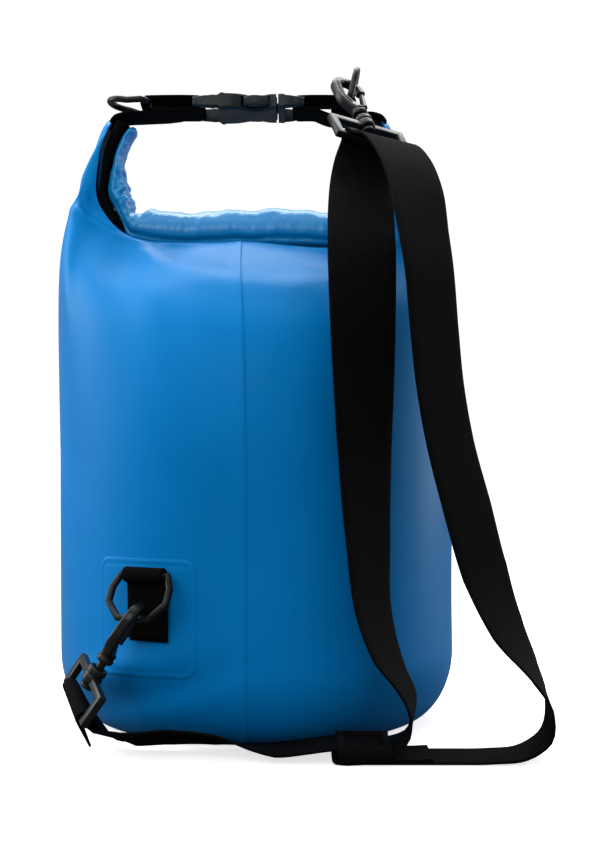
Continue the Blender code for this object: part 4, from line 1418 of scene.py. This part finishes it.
@dataclass
class SnapHook:
    """Snap hook with a grooved spine, turning in the collar of a flat strap frame."""

    name: str
    at: Vector
    axis: Vector
    facing: Vector
    spin: float
    swivel: float
    bow: float = 0.0085
    crown: float = 0.0265
    frame_half: float = 0.0256
    frame_top: float = -0.0108
    frame_foot: float = -0.0307

    def axes(self, turn: float) -> Matrix:
        """The hook's own axes: along it, towards its gate, out of its face.

        Args:
            turn: turn about its length, in degrees.

        Returns:
            The matrix from those axes to the bag's.
        """
        axis = self.axis.normalized()
        face = (self.facing - axis * self.facing.dot(axis)).normalized()
        side = face.cross(axis)
        rows = Matrix((axis, side, face)).transposed().to_4x4()
        return Matrix.Translation(self.at) @ rows @ Matrix.Rotation(math.radians(turn), 4, "X")

    def spine(self) -> list[tuple[float, float, float, float]]:
        """Line of the hook in its own plane: along, across, half its width, half its thickness.

        Returns:
            The stations.
        """
        wide = self.bow
        line = [(0.0010, 0.0000, 0.0036, 0.0036), (0.0045, -0.0010, 0.0036, 0.0036),
                (0.0080, -0.0042, 0.0034, 0.0034), (0.0125, -0.0074, 0.0032, 0.0033),
                (0.0170, -wide, 0.0031, 0.0033), (0.0215, -wide, 0.0031, 0.0033)]
        for k in range(13):
            turn = math.radians(180 - 15 * k)
            slim = 0.0031 - 0.0005 * math.sin(turn / 2 + math.pi / 2)
            line.append((self.crown + wide * math.sin(turn), wide * math.cos(turn),
                         slim if k < 7 else 0.0026, 0.0030 if k < 7 else 0.0026))
        line.append((self.crown - 0.0022, wide, 0.0025, 0.0025))
        return line

    def bow_piece(self, finish: Finish) -> bpy.types.Object:
        """The grooved bar from the collar round to the nose."""
        rows = self.spine()
        path = smooth_line([Vector((a, b, 0)) for a, b, _, _ in rows], 97)
        last = len(path) - 1

        def ring(u: float, phi: float) -> Vector:
            i = min(last, round(u * last))
            way = (path[min(i + 1, last)] - path[max(i - 1, 0)]).normalized()
            out = Vector((-way.y, way.x, 0.0))
            x = u * (len(rows) - 1)
            k = min(int(x), len(rows) - 2)
            wide = mix(rows[k][2], rows[k + 1][2], x - k)
            thick = mix(rows[k][3], rows[k + 1][3], x - k)
            close = min(1.0, min(u, 1 - u) / 0.02) ** 0.5 * 0.75 + 0.25
            a, b = rounded(phi, wide * close, thick * close, 0.55)
            held = ease(0.10, 0.18, u) * (1 - ease(0.48, 0.58, u))
            b -= math.copysign(0.0011, b) * bump(a / wide, 0.0, 0.34) * held
            return path[i] + out * a + Vector((0, 0, b))

        return lofted(f"{self.name}_bow", ring, 96, 32, finish)

    def collar(self, finish: Finish) -> bpy.types.Object:
        """The turned swivel: head under the frame, neck, and two beads over it."""
        profile = [(-0.0192, 0.0030), (-0.0188, 0.0039), (-0.0175, 0.0041), (-0.0168, 0.0036),
                   (-0.0164, 0.0024), (-0.0050, 0.0024), (-0.0020, 0.0024), (-0.0014, 0.0044),
                   (-0.0004, 0.0050), (0.0008, 0.0050), (0.0016, 0.0043), (0.0024, 0.0042),
                   (0.0032, 0.0047), (0.0042, 0.0046), (0.0052, 0.0036), (0.0056, 0.0022)]
        return turned(f"{self.name}_swivel", profile, finish)

    def strap_frame(self, finish: Finish) -> bpy.types.Object:
        """The flat rectangular frame with its barrel."""
        bpy.ops.object.select_all(action="DESELECT")
        middle = (self.frame_top + self.frame_foot) / 2
        bpy.ops.mesh.primitive_cube_add(size=1.0, location=(middle, 0, 0))
        plate = bpy.context.object
        plate.name = f"{self.name}_frame"
        plate.scale = (self.frame_top - self.frame_foot, 2 * self.frame_half, 0.0044)
        bake_place(plate)
        cut_box(plate, Vector((self.frame_foot + 0.0044, -0.0205, -0.02)),
                Vector((self.frame_top - 0.0046, 0.0205, 0.02)))
        soften(plate, 0.0009, 60)
        finish.put_on(plate)
        return plate

    def barrel(self, finish: Finish) -> bpy.types.Object:
        """The stepped barrel that the swivel's neck turns in."""
        profile = [(-0.0152, 0.0033), (-0.0152, 0.0050), (-0.0146, 0.0055), (-0.0112, 0.0056),
                   (-0.0106, 0.0050), (-0.0098, 0.0050), (-0.0092, 0.0056), (-0.0066, 0.0056),
                   (-0.0060, 0.0050), (-0.0060, 0.0033), (-0.0152, 0.0033)]
        return turned(f"{self.name}_barrel", profile, finish)

    def build(self, finishes: Finishes) -> list[bpy.types.Object]:
        """Make the hook and its frame in place.

        Args:
            finishes: the bag's finishes.

        Returns:
            The pieces.
        """
        finish = finishes.hook
        hook = [self.bow_piece(finish), self.collar(finish)]
        frames = [self.strap_frame(finish), self.barrel(finish)]
        for pieces, turn, body in ((hook, self.spin, f"{self.name}_hook_body"),
                                   (frames, self.swivel, "bag")):
            for piece in pieces:
                piece.matrix_world = self.axes(turn)
                bake_place(piece)
            settle(pieces, body)
        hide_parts(f"{self.name}_hook")
        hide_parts(f"{self.name}_strap_frame")
        LOG.info("%s hook", self.name)
        return hook + frames


# ---------------------------------------------------------------- kept pieces
@dataclass
class Hardware:
    """Moulded pieces kept from the frame, with rounded edges and their own finish."""

    node: str
    finish: Finish
    edge: float = 0.0006
    angle: float = 35.0

    def dress(self) -> None:
        """Round the node's edges and cover it with its finish."""
        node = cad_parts[self.node]
        node.data.materials.clear()
        node.data.materials.append(self.finish.material())
        for face in node.data.polygons:
            face.use_smooth = True
        join = node.modifiers.new("join", "WELD")
        join.merge_threshold = 0.00001
        round_ = node.modifiers.new("rounded", "BEVEL")
        round_.width = self.edge
        round_.segments = 3
        round_.limit_method = "ANGLE"
        round_.angle_limit = math.radians(self.angle)
        round_.harden_normals = True
        LOG.info("%s dressed", self.node)


@dataclass
class Studio:
    """Pale floor and soft lights."""

    floor_size: float = 8.0

    def light(self, name: str, place: tuple, aim: tuple, size: tuple, watts: float,
              colour: Color = (1.0, 1.0, 1.0)) -> bpy.types.Object:
        """Add one rectangular soft light.

        Args:
            name: the light's name.
            place: where it stands.
            aim: what it points at.
            size: its two lengths.
            watts: its power.
            colour: its colour.

        Returns:
            The light.
        """
        data = bpy.data.lights.new(name, "AREA")
        data.shape = "RECTANGLE"
        data.size, data.size_y = size
        data.energy = watts
        data.color = colour
        lamp = bpy.data.objects.new(name, data)
        lamp.location = place
        lamp.rotation_euler = (Vector(aim) - Vector(place)).to_track_quat("-Z", "Y").to_euler()
        bpy.context.scene.collection.objects.link(lamp)
        return lamp

    def build(self) -> None:
        """Lay the floor, set the even background and hang the lights."""
        bpy.ops.object.select_all(action="DESELECT")
        bpy.ops.mesh.primitive_plane_add(size=self.floor_size, location=(0, 0, -0.0002))
        floor = bpy.context.object
        floor.name = "studio_floor"
        paint = bpy.data.materials.new("studio_floor")
        paint.use_nodes = True
        shader = paint.node_tree.nodes["Principled BSDF"]
        shader.inputs["Roughness"].default_value = 0.9
        shader.inputs["Emission Color"].default_value = (1.0, 1.0, 1.0, 1.0)
        graph = Graph(paint.node_tree)
        seen = graph.add("ShaderNodeLightPath").outputs["Is Camera Ray"]
        pale = graph.blend(seen, (0.10, 0.10, 0.10, 1.0), (0.85, 0.85, 0.85, 1.0))
        paint.node_tree.links.new(pale, shader.inputs["Base Color"])
        glow = graph.ramp(seen, 0.0, 1.0, 0.0, 0.72)
        paint.node_tree.links.new(glow, shader.inputs["Emission Strength"])
        floor.data.materials.append(paint)
        world = bpy.data.worlds.new("studio")
        world.use_nodes = True
        sky = world.node_tree.nodes["Background"]
        graph = Graph(world.node_tree)
        seen = graph.add("ShaderNodeLightPath").outputs["Is Camera Ray"]
        sky.inputs["Color"].default_value = (1.0, 1.0, 1.0, 1.0)
        world.node_tree.links.new(graph.ramp(seen, 0.0, 1.0, 0.40, 1.05), sky.inputs["Strength"])
        bpy.context.scene.world = world
        bpy.context.scene.view_settings.view_transform = "Standard"
        middle = (0.0, 0.0, 0.18)
        self.light("top", (-0.1, -0.25, 1.5), middle, (1.4, 0.9), 8.0)
        self.light("left", (-1.25, 0.15, 0.80), middle, (0.7, 1.2), 18.0)
        self.light("right", (1.3, 0.60, 0.40), middle, (0.6, 1.1), 9.0)
        self.light("behind", (0.0, 0.60, 1.30), (0.0, 0.0, 0.30), (1.4, 0.6), 22.0)
        self.light("front", (-0.6, -1.8, 1.1), middle, (1.6, 1.0), 19.0)


# ---------------------------------------------------------------- assembly
@dataclass
class DryBag:
    """The whole bag, built sub-assembly by sub-assembly."""

    finishes: Finishes = field(default_factory=Finishes)

    def build(self) -> None:
        """Build the strap first, then the skin, mouth, handle, anchor and hardware."""
        ShoulderStrap().build(self.finishes)
        mouth = MouthLine()
        skin = BagSkin(mouth)
        skin.build(self.finishes)
        RolledMouth(mouth).build(self.finishes)
        for side in Side:
            HandleWebbing(side).build(self.finishes)
        Buckle().build(self.finishes)
        RingAnchor(skin).build(self.finishes)
        for hook in self.hooks():
            hook.build(self.finishes)
        for name, finish, edge in self.hardware():
            Hardware(name, finish, edge).dress()

    def hooks(self) -> list[SnapHook]:
        """The upper hook on the handle's ring and the lower one on the anchor's ring."""
        upper_axis = Vector((-0.2755, 0.766, 0.775))
        upper = SnapHook("upper", Vector((0.0620, -0.0274, 0.3658)), upper_axis,
                         Vector((0.0, 1.0, 0.0)), 40.0, 40.0)
        lower_axis = Vector((0.56, -0.12, 0.82))
        back = Vector((math.sin(math.radians(-14.0)), -math.cos(math.radians(-14.0)), 0.0))
        lower = SnapHook("lower", Vector((-0.08008, -0.11835, 0.05223)), lower_axis,
                         back.cross(lower_axis.normalized()), 0.0, 38.41)
        return [upper, lower]

    def hardware(self) -> list[tuple[str, Finish, float]]:
        """The moulded pieces, with their finish and edge rounding."""
        f = self.finishes
        return [("buckle_prong_front", f.buckle, 0.0006), ("buckle_prong_rear", f.buckle, 0.0006),
                ("d_ring_left", f.ring, 0.0002), ("d_ring_right", f.ring, 0.0002),
                ("d_ring_lower", f.ring, 0.0002), ("upper_gate", f.hook, 0.0003),
                ("lower_gate", f.hook, 0.0003), ("strap_slider", f.slider, 0.0003)]


def main() -> None:
    """Build everything in order."""
    logging.basicConfig(level=logging.INFO, format="%(message)s")
    Viewpoint().build()
    DryBag().build()
    Studio().build()


if __name__ == "__main__":
    main()
